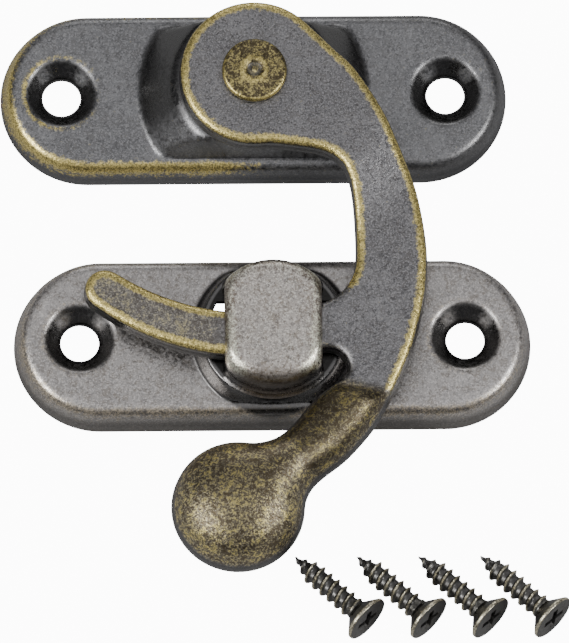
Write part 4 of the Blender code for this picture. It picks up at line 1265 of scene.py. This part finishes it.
world = bpy.data.worlds.new("studio")
bpy.context.scene.world = world
world.use_nodes = True
wt = world.node_tree
bg = wt.nodes["Background"]
tc = wt.nodes.new("ShaderNodeTexCoord")
sep = wt.nodes.new("ShaderNodeSeparateXYZ")
wt.links.new(tc.outputs["Generated"], sep.inputs[0])
ramp = wt.nodes.new("ShaderNodeValToRGB")           # by height of the ray: dark near the horizon, grey overhead
wt.links.new(sep.outputs["Z"], ramp.inputs[0])
ramp.color_ramp.elements[0].position = 0.0
ramp.color_ramp.elements[0].color = (0.07, 0.07, 0.073, 1)
ramp.color_ramp.elements[1].position = 1.0
ramp.color_ramp.elements[1].color = (0.95, 0.95, 0.97, 1)
e = ramp.color_ramp.elements.new(0.55)
e.color = (0.17, 0.17, 0.178, 1)
e = ramp.color_ramp.elements.new(0.82)
e.color = (0.42, 0.42, 0.43, 1)
lp = wt.nodes.new("ShaderNodeLightPath")
mixw = wt.nodes.new("ShaderNodeMix")
mixw.data_type = "RGBA"
wt.links.new(lp.outputs["Is Camera Ray"], mixw.inputs[0])
wt.links.new(ramp.outputs[0], mixw.inputs[6])
mixw.inputs[7].default_value = (0.96, 0.96, 0.965, 1)
wt.links.new(mixw.outputs[2], bg.inputs[0])
bg.inputs[1].default_value = 1.0


def area(name, loc, size, power, target=(0, 0, 0.005), spread=180):
    li = bpy.data.lights.new(name, "AREA")
    li.shape = "RECTANGLE"
    li.size, li.size_y = size
    li.energy = power
    li.spread = radians(spread)
    ob = bpy.data.objects.new(name, li)
    bpy.context.collection.objects.link(ob)
    ob.location = loc
    ob.rotation_euler = (Vector(target) - Vector(loc)).to_track_quat("-Z", "Y").to_euler()
    ob.visible_camera = False
    return ob


area("soft_left", (-0.47, -0.19, 0.42), (0.19, 0.19), 2.35)
area("soft_back", (0.02, 0.60, 0.22), (0.40, 0.16), 0.55)
area("soft_right", (0.48, -0.17, 0.42), (0.19, 0.19), 2.15)

# ---- camera ----------------------------------------------------------------------------------
D = 1.600
target = Vector(((PX + 2.85) * MM, (PY - 22.85) * MM, 0.0))
direction = Vector((-0.017, -0.2756, 0.9613)).normalized()
x_axis = Vector((0, 1, 0)).cross(direction).normalized()
y_axis = direction.cross(x_axis).normalized()
roll = radians(-0.7)
xr = x_axis * cos(roll) + y_axis * sin(roll)
yr = direction.cross(xr).normalized()
cam_data = bpy.data.cameras.new("photo_view")
cam = bpy.data.objects.new("photo_view", cam_data)
bpy.context.collection.objects.link(cam)
loc = target + direction * D
cam.matrix_world = Matrix((
    (xr.x, yr.x, direction.x, loc.x),
    (xr.y, yr.y, direction.y, loc.y),
    (xr.z, yr.z, direction.z, loc.z),
    (0, 0, 0, 1)))
cam_data.sensor_width = 36.0
cam_data.lens = 36.0 * D / 0.0643 * 1.010
cam_data.clip_start = 0.01
cam_data.clip_end = 20.0
bpy.context.scene.camera = cam
